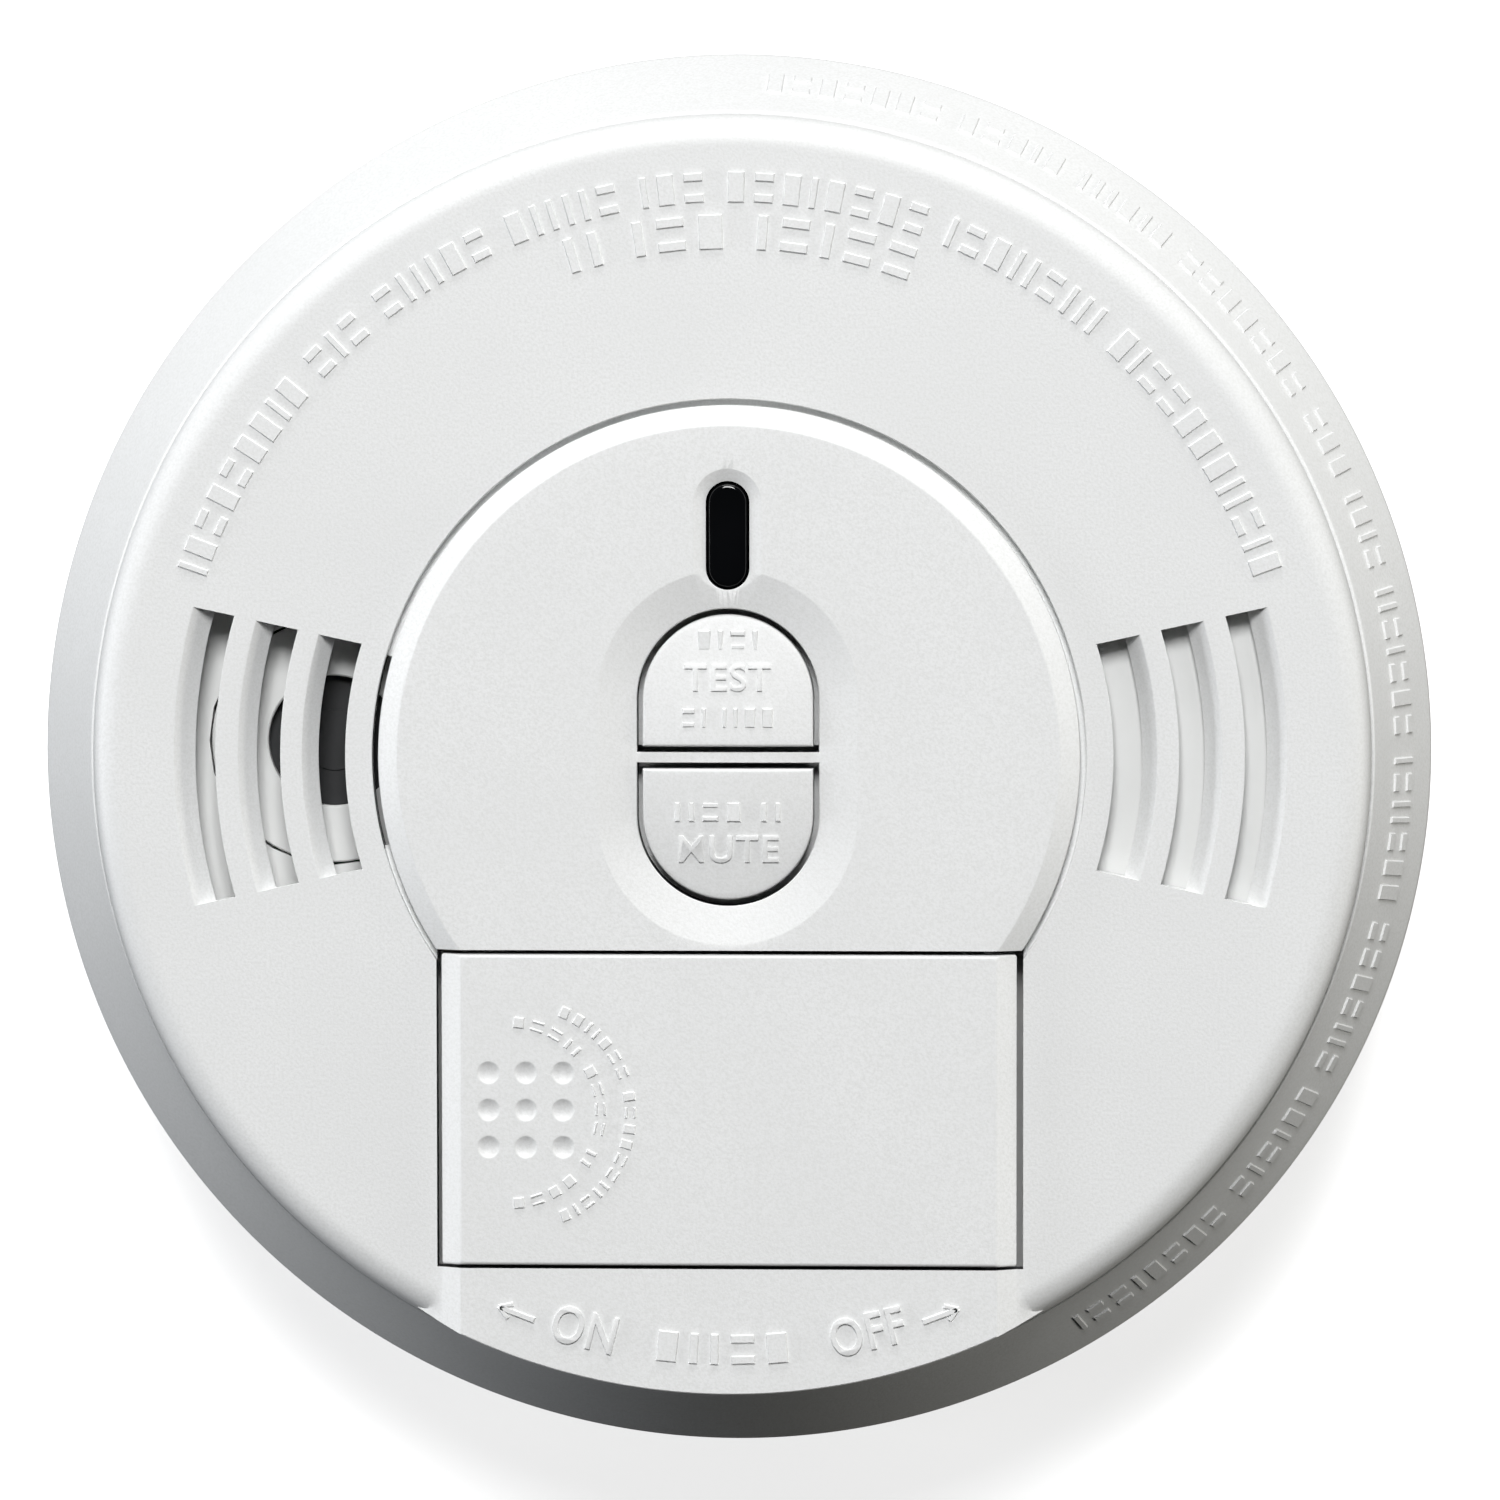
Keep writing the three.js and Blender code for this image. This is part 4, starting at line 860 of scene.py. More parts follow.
@dataclass
class Marks:
    """Rows of small raised bars where a maker would put lettering, and a few plain words."""

    height: float = 0.22
    sink: float = 0.06
    seed: int = 7
    shape: bmesh.types.BMesh = field(default_factory=bmesh.new)

    def bar(self, place: Matrix, width: float, depth: float) -> None:
        """Adds one bar with sloping sides.

        Args:
            place: Where its base lies, x along the row and z out of the surface.
            width: Size along the row.
            depth: Size across the row.
        """
        low = Matrix.Translation((0, 0, (self.height - self.sink) / 2))
        size = Matrix.Diagonal((width, depth, self.height + self.sink, 1))
        made = bmesh.ops.create_cube(self.shape, size=1, matrix=low @ size)["verts"]
        top = [v for v in made if v.co.z > 0]
        inset = 0.16
        factor = ((width - 2 * inset) / width, (depth - 2 * inset) / depth, 1)
        bmesh.ops.scale(self.shape, vec=factor, verts=top)
        bmesh.ops.transform(self.shape, matrix=place, verts=made)

    def row(
        self,
        length: float,
        depth: float,
        words: Sequence[int],
        place: Callable[[float], Matrix],
    ) -> None:
        """Adds a row of bars in groups.

        Args:
            length: The whole row.
            depth: The bars' size across the row.
            words: Bars in each group.
            place: Gives where a bar lies from its distance along the row, from the middle.
        """
        draw = random.Random(self.seed)
        self.seed += 1
        cells = [[draw.choice(list(Cell)) for _ in range(n)] for n in words]
        gap, space = 0.5, 1.3
        total = sum(cell.value for word in cells for cell in word)
        total += gap * sum(n - 1 for n in words) + space * (len(words) - 1)
        unit = length / total
        at = -length / 2
        for word in cells:
            for cell in word:
                width = cell.value * unit
                spot = place(at + width / 2)
                if cell is Cell.PAIR:
                    for side in (1, -1):
                        shift = Matrix.Translation((0, side * depth * 0.33, 0))
                        self.bar(spot @ shift, width, depth * 0.3)
                else:
                    self.bar(spot, width, depth)
                at += width + gap * unit
            at += (space - gap) * unit

    def word(
        self,
        text: str,
        cap: float,
        place: Matrix,
        lift: Callable[[float, float], float] | None = None,
        squeeze: float = 1.0,
    ) -> None:
        """Adds a short plain word.

        Args:
            text: The word.
            cap: Height of its capitals.
            place: Where its middle lies.
            lift: Height of a curved surface at x, y, added to each point.
            squeeze: Width of the letters, as a share of their usual width.
        """
        curve = bpy.data.curves.new("word", "FONT")
        curve.body = text
        curve.align_x, curve.align_y = "CENTER", "CENTER"
        curve.size = cap / 0.7
        curve.offset = 0.006 * cap
        curve.space_character = 1.1
        curve.extrude = (self.height + self.sink) / 2 - 0.05
        curve.bevel_depth = 0.05
        curve.bevel_resolution = 1
        holder = bpy.data.objects.new("word", curve)
        bpy.context.scene.collection.objects.link(holder)
        graph = bpy.context.evaluated_depsgraph_get()
        mesh = bpy.data.meshes.new_from_object(holder.evaluated_get(graph))
        bpy.data.objects.remove(holder)
        bpy.data.curves.remove(curve)
        rise = Matrix.Translation((0, 0, (self.height - self.sink) / 2))
        mesh.transform(place @ rise @ Matrix.Diagonal((squeeze, 1, 1, 1)))
        if lift:
            for vert in mesh.vertices:
                vert.co.z += lift(vert.co.x, vert.co.y)
        self.shape.from_mesh(mesh)
        bpy.data.meshes.remove(mesh)

    def piece(self, name: str, body: Body) -> bpy.types.Object:
        """Turns the marks into a piece of the case's own plastic."""
        bmesh.ops.remove_doubles(self.shape, verts=self.shape.verts, dist=1e-5)
        return finish_piece(
            to_object(self.shape, name), CASE, body, "white_case", smooth=math.radians(25)
        )


def on_arc(
    radius: float,
    middle: float,
    z: float,
    inward: bool = False,
    x: float = 0.0,
    y: float = 0.0,
) -> Callable[[float], Matrix]:
    """Places marks along an arc on a level surface.

    Args:
        radius: The arc's radius.
        middle: Angle of the row's middle, degrees.
        z: The surface's level.
        inward: True where the row's top points to the centre.
        x: The centre's x.
        y: The centre's y.

    Returns:
        A function from distance along the row to a place.
    """
    turn = 1 if inward else -1

    def place(distance: float) -> Matrix:
        angle = math.radians(middle) + turn * distance / radius
        spot = Vector((x + radius * math.cos(angle), y + radius * math.sin(angle), z))
        heading = angle + turn * math.pi / 2
        return Matrix.Translation(spot) @ Matrix.Rotation(heading, 4, "Z")

    return place


def on_line(y: float, surface: Callable[[float, float], float]) -> Callable[[float], Matrix]:
    """Places marks along a level line on a surface given by its height."""
    return lambda distance: Matrix.Translation((distance, y, surface(distance, y)))


# ---------------------------------------------------------------- sub-assemblies


@dataclass
class Housing:
    """The ring-shaped wall and sloping skirt."""

    edge: float = 0.5

    def build(self) -> None:
        """Turns the housing's section and adds its marks."""
        profile: list[Point] = [
            (73.0 - 0.3, 0.8),
            (73.0, 1.1),
            (73.0, 14.0),
            (73.0, SHOULDER_Z - self.edge),
            *self.corner(),
            (SEAM_R + 0.15, SEAM_Z - 0.27),
            (SEAM_R + 0.03, SEAM_Z - 0.08),
            (SEAM_R - 0.12, SEAM_Z),
            (66.0, SEAM_Z),
            (66.0, 36.063),
            (70.8, 27.438),
            (70.8, 6.6),
            (69.0, 6.6),
            (69.0, 5.1),
            (70.8, 5.1),
            (70.8, 0.8),
        ]
        piece = to_object(turned(profile, steps=360), "outer_housing_shell")
        finish_piece(piece, CASE, Body.ALARM, "white_case", ["outer_housing"])
        self.marks()

    def corner(self) -> list[Point]:
        """The soft shoulder between the wall and the skirt."""
        slope = Vector((SEAM_R - OUTER_R, SEAM_Z - SHOULDER_Z)).normalized()
        start = Vector((OUTER_R, SHOULDER_Z - self.edge))
        tip = Vector((OUTER_R, SHOULDER_Z))
        end = tip + slope * self.edge
        steps = 4
        points = []
        for i in range(1, steps + 1):
            t = i / steps
            p = start * (1 - t) ** 2 + tip * 2 * t * (1 - t) + end * t**2
            points.append((p.x, p.y))
        return points

    def marks(self) -> None:
        """A row of raised bars round the skirt, from the lower right to the top."""
        rise, run = SEAM_Z - SHOULDER_Z, OUTER_R - SEAM_R
        lean = math.atan2(rise, run)
        middle_r, middle_z = OUTER_R - run * 0.5, SHOULDER_Z + rise * 0.5
        first, last = -59.0, 87.0
        length = math.radians(last - first) * middle_r

        def place(distance: float) -> Matrix:
            angle = math.radians((first + last) / 2) + distance / middle_r
            spot = Vector((middle_r * math.cos(angle), middle_r * math.sin(angle), middle_z))
            heading = Matrix.Rotation(angle + math.pi / 2, 4, "Z")
            return Matrix.Translation(spot) @ heading @ Matrix.Rotation(lean, 4, "X")

        marks = Marks(height=0.2, seed=3)
        marks.row(length, 4.2, (8, 6, 7, 7, 7, 4, 3, 7, 6, 5, 7), place)
        marks.piece("housing_marks", Body.ALARM)


@dataclass
class Cover:
    """The face: rounded rim, raised disc, dish, louvres, tablet and openings."""

    rim_r: float = 66.3
    fillet: float = 3.1
    tube_r: float = 65.7
    tube_inner_r: float = 63.7
    tube_low: float = 35.0
    disc_r: float = 36.3
    disc_bevel: float = 2.1
    groove: float = 0.6
    groove_depth: float = 1.2
    slot_inner: tuple[float, ...] = (39.7, 46.45, 53.2)
    slot_widths: tuple[float, ...] = (2.97, 2.65, 2.3)
    ramps: tuple[float, ...] = (1.53, 1.75, 2.0)
    end_lean: float = 12.3
    end_apex: float = 15.7
    groove_open: tuple[float, float] = (163.5, 194.5)
    opening_r: float = 9.4
    arc_y: float = 5.95
    bar: float = 0.55
    dish: float = 4.05
    dish_z: float = 44.0
    lens_y: float = 22.9
    lens_half_length: float = 5.6
    lens_half_width: float = 2.25

    def build(self) -> None:
        """Models the cover as one moulding, then its marks."""
        piece = to_object(turned(self.section()), "front_cover_shell")
        combine(piece, self.tablet(), Cut.ADD)
        for tool in self.sockets():
            combine(piece, tool, Cut.ADD)
        combine(piece, self.dish_hollow(), Cut.REMOVE)
        combine(piece, self.door_opening(), Cut.REMOVE)
        combine(piece, self.hinge_bore(), Cut.REMOVE)
        for side in (1, -1):
            combine(piece, self.button_opening(side), Cut.REMOVE)
        combine(piece, self.lens_opening(), Cut.REMOVE)
        for inner, width, ramp in zip(self.slot_inner, self.slot_widths, self.ramps):
            for turn in (0, 180):
                combine(piece, self.louvre(inner, width, ramp, turn), Cut.REMOVE)
        combine(piece, self.groove_slot(), Cut.REMOVE)
        for angle in (90, 215, 325):
            combine(piece, self.boss(angle), Cut.ADD)
        finish_piece(piece, CASE, Body.ALARM, "white_case", ["front_cover"])
        self.paint_gap_shade(piece)
        self.marks()

    def paint_gap_shade(self, piece: bpy.types.Object) -> None:
        """Paints the walls of the narrow openings black: painted shade for the dark gaps round the
        buttons, lens, door and groove.

        Args:
            piece: The finished cover, in metres.
        """
        reach = self.arc_y + self.opening_r + 0.3
        lens_x, lens_y = self.lens_half_width + 0.1, self.lens_half_length + 0.1
        a0, a1 = self.groove_open
        # painted shade: the black material on these walls stands in for the shade deep in the gaps
        piece.data.materials.append(BLACK_AND_PAINTED_SHADE.material())
        for face in piece.data.polygons:
            x, y, z = face.center / MM
            if abs(face.normal.z) > 0.3 or z < COVER_UNDER_Z:
                continue
            button = abs(x) < self.opening_r + 0.05 and abs(y) < reach and z < self.dish_z - 0.1
            lens = abs(x) < lens_x and abs(y - self.lens_y) < lens_y and z < RAISED_Z - 0.5
            across = DOOR_LEFT - 0.6 < x < DOOR_RIGHT + 0.75
            door = across and DOOR_BOTTOM - 0.35 < y < DOOR_TOP + 0.55
            near = abs(math.hypot(x, y) - self.disc_r - self.groove / 2) < self.groove
            angle = math.degrees(math.atan2(y, x)) % 360
            groove = near and a0 - 0.1 < angle < a1 + 0.1
            if button or lens or door or groove:
                face.material_index = 1

    def section(self) -> list[Point]:
        """The shell's section, from the middle of the disc round to the underside."""
        flat_r = self.disc_r - self.disc_bevel
        centre_r, centre_z = self.rim_r - self.fillet, FACE_Z - self.fillet
        rim = arc(self.fillet, 90, 0, 10, centre_r, centre_z)
        outer_groove = self.disc_r + self.groove
        floor = FACE_Z - self.groove_depth
        return [
            (0, RAISED_Z),
            (flat_r - 3, RAISED_Z),
            (flat_r - 0.12, RAISED_Z),
            (flat_r + 0.12, RAISED_Z - 0.06),
            (self.disc_r - 0.12, FACE_Z + 0.06),
            (self.disc_r, FACE_Z - 0.1),
            (self.disc_r, floor),
            (outer_groove, floor),
            (outer_groove, FACE_Z - 0.12),
            (outer_groove + 0.1, FACE_Z),
            (outer_groove + 0.6, FACE_Z),
            (centre_r - 0.5, FACE_Z),
            *rim,
            (self.rim_r, SEAM_Z + 0.3),
            (self.tube_r, SEAM_Z + 0.3),
            (self.tube_r, self.tube_low),
            (self.tube_inner_r, self.tube_low),
            (self.tube_inner_r, COVER_UNDER_Z),
            (0, COVER_UNDER_Z),
        ]

    def tablet(self) -> bmesh.types.BMesh:
        """The raised tablet from the door to the rim, with bevelled sides and a soft outer edge."""
        bevel = 2.1
        low = COVER_UNDER_Z + 0.4
        spread = bevel * (FACE_Z - low) / (RAISED_Z - FACE_Z)
        levels = (
            (low, -spread, 0.0),
            (FACE_Z, 0.0, 0.0),
            (RAISED_Z - 0.12, bevel * 0.9, 0.0),
            (RAISED_Z, bevel, 0.12),
        )
        rings = []
        for z, side, end in levels:
            edge = self.rim_r - 0.3 - end
            half = DOOR_RIGHT - side
            steps = 48
            far = [
                (x, -math.sqrt(edge**2 - x**2))
                for x in (-half + 2 * half * i / steps for i in range(steps + 1))
            ]
            rings.append(at_level([(half, DOOR_BOTTOM + 1), (-half, DOOR_BOTTOM + 1), *far], z))
        return loft(rings)

    def sockets(self) -> list[bmesh.types.BMesh]:
        """The blocks that hold the door's hinge pins."""
        x, z, half = 27.05, 42.1, 2.0
        top, low, depth = DOOR_TOP + 0.43, DOOR_BOTTOM - 0.3, 2.5
        return [
            block(x - half, top - 0.2, z - half, x + half, top + depth, FACE_Z - 0.05),
            block(x - half, low - depth, z - half, x + half, low + 0.2, FACE_Z - 0.05),
        ]

    def hinge_bore(self) -> bmesh.types.BMesh:
        """The round bore that the door's pins turn in."""
        shape = bmesh.new()
        length = DOOR_TOP - DOOR_BOTTOM + 3.0
        place = Matrix.Translation((27.05, (DOOR_TOP + DOOR_BOTTOM) / 2, 42.1))
        bmesh.ops.create_cone(
            shape,
            cap_ends=True,
            segments=24,
            radius1=1.0,
            radius2=1.0,
            depth=length,
            matrix=place @ Matrix.Rotation(math.pi / 2, 4, "X"),
        )
        return shape

    def dish_hollow(self) -> bmesh.types.BMesh:
        """The shallow hollow round the buttons."""
        levels = (
            (self.dish_z - 0.04, self.opening_r - 0.4),
            (self.dish_z, self.opening_r),
            (RAISED_Z - 0.03, self.opening_r + self.dish - 0.1),
            (RAISED_Z, self.opening_r + self.dish + 0.08),
            (RAISED_Z + 1, self.opening_r + self.dish + 0.09),
        )
        return loft([at_level(stadium(r, r + self.arc_y, steps=72), z) for z, r in levels])

    def door_opening(self) -> bmesh.types.BMesh:
        """The rectangular opening for the door."""
        x0, x1 = DOOR_LEFT - 0.55, DOOR_RIGHT + 0.7
        y0, y1 = DOOR_BOTTOM - 0.3, DOOR_TOP + 0.43
        return block(x0, y0, 35, x1, y1, RAISED_Z + 1)

    def button_opening(self, side: int) -> bmesh.types.BMesh:
        """One button's opening, its upper edge just broken."""
        levels = (
            (COVER_UNDER_Z - 1, 0.0),
            (self.dish_z - 0.1, 0.0),
            (self.dish_z + 0.02, 0.1),
            (RAISED_Z + 1, 0.11),
        )
        return loft(
            [
                at_level(half_stadium(self.opening_r + d, self.bar - d, self.arc_y, side), z)
                for z, d in levels
            ]
        )

    def lens_opening(self) -> bmesh.types.BMesh:
        """The lens' opening with its bevelled mouth."""
        levels = (
            (COVER_UNDER_Z - 1, 0.0),
            (RAISED_Z - 0.5, 0.0),
            (RAISED_Z - 0.02, 1.24),
            (RAISED_Z + 0.02, 1.35),
            (RAISED_Z + 1, 1.36),
        )
        outlines = [
            (stadium(self.lens_half_width + d, self.lens_half_length + d, self.lens_y), z)
            for z, d in levels
        ]
        return loft([at_level(outline, z) for outline, z in outlines])

    def groove_slot(self) -> bmesh.types.BMesh:
        """The length of the disc's groove that goes right through the cover."""
        a0, a1 = self.groove_open
        inner, outer = self.disc_r + 0.01, self.disc_r + self.groove - 0.01
        outline = [*arc(outer, a0, a1, 48), *arc(inner, a1, a0, 48)]
        levels = (COVER_UNDER_Z - 1, FACE_Z - self.groove_depth / 2)
        return loft([at_level(outline, z) for z in levels])

    def louvre(self, inner: float, width: float, ramp: float, turn: float) -> bmesh.types.BMesh:
        """One curved slot, with a ramp on its outer side.

        Args:
            inner: The slot's inner radius.
            width: The slot's width.
            ramp: The ramp's width at the face.
            turn: Angle of its middle, degrees.

        Returns:
            The solid to cut out.
        """
        steps = 32
        outer = inner + width
        levels = (
            (COVER_UNDER_Z - 1, 0.0, 0.0),
            (COVER_UNDER_Z + 0.3, 0.0, 0.0),
            (FACE_Z - 0.06, ramp - 0.05, 0.0),
            (FACE_Z, ramp + 0.12, 0.1),
            (FACE_Z + 1, ramp + 0.13, 0.11),
        )
        rings = []
        for z, out, back in levels:
            far, near = self.end_angle(outer + out), self.end_angle(inner - back)
            outline = arc(outer + out, turn - far, turn + far, steps)
            outline += arc(inner - back, turn + near, turn - near, steps)
            rings.append(at_level(outline, z))
        return loft(rings)

    def end_angle(self, radius: float) -> float:
        """Half of a slot's sweep at a radius, degrees. Its ends lie on lines to a shared point.

        Args:
            radius: The radius, mm.

        Returns:
            The angle from the slot's middle to its end.
        """
        lean = math.radians(self.end_lean)
        return self.end_lean + math.degrees(math.asin(self.end_apex * math.sin(lean) / radius))

    def boss(self, angle: float) -> bmesh.types.BMesh:
        """A hollow post that takes a housing screw."""
        x, y = arc(58.0, angle, angle, 1)[0]
        foot, bore_top, head = 8.3, 20.0, COVER_UNDER_Z + 0.5
        bore, outer = 1.5, 3.4
        profile = [(bore, foot), (outer, foot), (outer, head), (0, head), (0, bore_top)]
        profile.append((bore, bore_top))
        return turned(profile, SMALL_ROUND, x, y)

    def marks(self) -> None:
        """Two arcs of bars over the disc, and the turning marks on the tablet."""
        marks = Marks(height=0.24, seed=21)
        outer_r, inner_r = 58.7, 54.1
        length = math.radians(142) * outer_r
        marks.row(length, 3.3, (9, 3, 6, 6, 3, 8, 9, 12), on_arc(outer_r, 90, FACE_Z))
        marks.row(math.radians(38.5) * inner_r, 3.7, (2, 3, 5), on_arc(inner_r, 88.6, FACE_Z))
        ring = 61.3
        for text, angle in (("ON", 255.9), ("OFF", 283.6)):
            spot = on_arc(ring, angle, RAISED_Z, inward=True)(0)
            marks.word(text, 3.8, spot, squeeze=0.78)
        marks.row(13.6, 3.3, (5,), on_arc(ring, 269.4, RAISED_Z, inward=True))
        for angle, side in ((249.2, -1), (290.8, 1)):
            self.arrow(marks, on_arc(ring + 0.4, angle, RAISED_Z, inward=True)(0), side)
        marks.piece("cover_marks", Body.ALARM)

    def arrow(self, marks: Marks, place: Matrix, side: int) -> None:
        """A raised arrow: a shaft and two barbs.

        Args:
            marks: The marks that it joins.
            place: Its middle.
            side: 1 where it points along the row, -1 against it.
        """
        marks.bar(place, 4.0, 0.75)
        for lean in (1, -1):
            turn = Matrix.Rotation(side * lean * math.radians(148), 4, "Z")
            tip = Matrix.Translation((side * 2.0, 0, 0))
            spot = tip @ turn @ Matrix.Translation((side * 0.75, 0, 0))
            marks.bar(place @ spot, 1.7, 0.6)


@dataclass
class Door:
    """The battery door with its dimples, latch, rib and hinge pins."""

    under: float = 43.0
    bevel: float = 2.1
    edge: float = 0.4
    corner: float = 0.3
    pitch: float = 3.86
    dimple_x: float = -20.95
    dimple_r: float = 1.25
    dimple_depth: float = 0.42

    def build(self) -> None:
        """Models the door and its marks."""
        slope = self.bevel / (RAISED_Z - FACE_Z)
        levels = [(self.under, 0.0, 0.0), (FACE_Z, 0.0, 0.0)]
        for drop, inset in ((1.0, 0.0), (0.62, 0.08), (0.29, 0.29)):
            z = RAISED_Z - self.edge * drop
            levels.append((z, slope * (z - FACE_Z), self.edge * inset))
        levels.append((RAISED_Z - self.edge * 0.08, self.bevel - 0.05, self.edge * 0.62))
        levels.append((RAISED_Z, self.bevel + 0.1, self.edge))
        rings = [
            at_level(
                rectangle(
                    DOOR_LEFT + dx, DOOR_BOTTOM + dy, DOOR_RIGHT - dx, DOOR_TOP - dy, self.corner
                ),
                z,
            )
            for z, dx, dy in levels
        ]
        piece = to_object(loft(rings), "battery_door_shell")
        middle = (DOOR_TOP + DOOR_BOTTOM) / 2
        combine(piece, block(26.05, DOOR_BOTTOM, 41.4, 28.05, DOOR_TOP, 43.4), Cut.ADD)
        combine(piece, self.pins(middle), Cut.ADD)
        combine(piece, block(-29.55, middle - 6, 38.4, -28.55, middle + 6, 43.3, 0.2), Cut.ADD)
        for column in (-1, 0, 1):
            for row in (-1, 0, 1):
                x = self.dimple_x + column * self.pitch
                combine(piece, self.dimple(x, middle + row * self.pitch), Cut.REMOVE)
        finish_piece(piece, CASE, Body.DOOR, "white_case", ["battery_door"])
        marks = Marks(height=0.2, seed=40)
        for sweep, radius, depth, groups, x, y in (
            (176, 9.4, 1.25, (5, 4, 2, 4), -22.6, -36.8),
            (137, 11.5, 1.35, (7, 11), -21.6, -36.9),
        ):
            place = on_arc(radius, 0, RAISED_Z, x=x, y=y)
            marks.row(math.radians(sweep) * radius, depth, groups, place)
        marks.piece("door_marks", Body.DOOR)

    def pins(self, middle: float) -> bmesh.types.BMesh:
        """The hinge pins, as one bar through the rib."""
        shape = bmesh.new()
        place = Matrix.Translation((27.05, middle, 42.1))
        bmesh.ops.create_cone(
            shape,
            cap_ends=True,
            segments=24,
            radius1=0.69,
            radius2=0.69,
            depth=DOOR_TOP - DOOR_BOTTOM + 2.4,
            matrix=place @ Matrix.Rotation(math.pi / 2, 4, "X"),
        )
        return shape

    def dimple(self, x: float, y: float) -> bmesh.types.BMesh:
        """One round finger dimple, its rim softened."""
        reach = (self.dimple_r**2 + self.dimple_depth**2) / (2 * self.dimple_depth)
        low = RAISED_Z - self.dimple_depth
        profile: list[Point] = [(0, low)]
        steps = 7
        for i in range(1, steps + 1):
            r = self.dimple_r * i / steps
            profile.append((r, low + reach - math.sqrt(reach**2 - r**2)))
        profile.append((self.dimple_r + 0.12, RAISED_Z + 0.03))
        profile += [(self.dimple_r + 0.13, RAISED_Z + 1), (0, RAISED_Z + 1)]
        return turned(profile, 32, x, y)


@dataclass
class PushButton:
    """A crowned half-stadium button with its flange and stem."""

    name: str
    body: Body
    side: int
    text: str
    rows: tuple[tuple[float, float, tuple[int, ...]], ...]  # y, length, groups
    word_y: float
    radius: float = 8.8
    flat_y: float = 1.15
    arc_y: float = 5.95
    crown: float = 44.94
    crown_radius: float = 92.0
    edge: float = 0.3

    def surface(self, x: float, y: float) -> float:
        """Height of the crown at a point."""
        return self.crown - (x * x + y * y) / (2 * self.crown_radius)

    def outline(self, inset: float, shrink: float = 1.0) -> list[Point]:
        """The cap's outline, set in by a distance and then drawn towards its middle."""
        middle = 7.4
        points = half_stadium(self.radius - inset, self.flat_y + inset, self.arc_y)
        return [
            (self.side * x * shrink, self.side * (middle + (y - middle) * shrink))
            for x, y in points
        ]

    def build(self) -> None:
        """Models the button and its marks."""
        rings = [
            at_level(self.outline(0), 39.9),
            at_level(self.outline(0), 42.0),
        ]
        steps = 4
        for i in range(steps + 1):
            turn = math.pi / 2 * i / steps
            inset = self.edge * (1 - math.cos(turn))
            drop = self.edge * (1 - math.sin(turn))
            points = self.outline(inset)
            rings.append([Vector((x, y, self.surface(x, y) - drop)) for x, y in points])
        for shrink in (0.93, 0.85, 0.72, 0.58, 0.44, 0.3, 0.16, 0.05):
            points = self.outline(self.edge, shrink)
            rings.append([Vector((x, y, self.surface(x, y))) for x, y in points])
        piece = to_object(loft(rings), f"{self.name}_cap")
        flange = half_stadium(self.radius + 1.6, self.flat_y, self.arc_y, self.side)
        combine(piece, loft([at_level(flange, 39.95), at_level(flange, 41.0)]), Cut.ADD)
        stem = [(0, 21.3), (1.8, 21.3), (2.0, 21.5), (2.0, 40.5), (0, 40.5)]
        combine(piece, turned(stem, SMALL_ROUND, 0, self.side * 8.0), Cut.ADD)
        finish_piece(piece, CASE, self.body, "white_case", [self.name])
        marks = Marks(height=0.18, seed=60 + self.side)
        for y, length, groups in self.rows:
            marks.row(length, 2.1, groups, on_line(y, self.surface))
        marks.word(self.text, 2.7, Matrix.Translation((0, self.word_y, 0)), self.surface)
        marks.piece(f"{self.name}_marks", self.body)


@dataclass
class StatusLens:
    """The smoked window over the two lamps."""

    half_width: float = 2.05
    half_length: float = 5.4
    y: float = 22.9
    top: float = 44.55
    edge: float = 0.55

    def build(self) -> None:
        """Models the window with a rounded edge, its flange and its light guides."""
        outline = stadium(self.half_width, self.half_length, self.y)
        rings = [at_level(outline, z) for z in (39.95, 42.0)]
        steps = 5
        for i in range(steps + 1):
            turn = math.pi / 2 * i / steps
            inset = self.edge * (1 - math.cos(turn))
            z = self.top - self.edge * (1 - math.sin(turn))
            outline = stadium(self.half_width - inset, self.half_length - inset, self.y)
            rings.append(at_level(outline, z))
        piece = to_object(loft(rings), "status_lens_window")
        wide = stadium(self.half_width + 1, self.half_length + 1, self.y)
        combine(piece, loft([at_level(wide, 39.9), at_level(wide, 41.0)]), Cut.ADD)
        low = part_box("status_lens")[0].z / MM
        for shift in (-3.2, 3.2):
            guide = [(0, low), (1.6, low), (1.6, 40.5), (0, 40.5)]
            combine(piece, turned(guide, SMALL_ROUND, 0, self.y + shift), Cut.ADD)
        finish_piece(piece, LENS, Body.ALARM, "black_gloss", ["status_lens"])


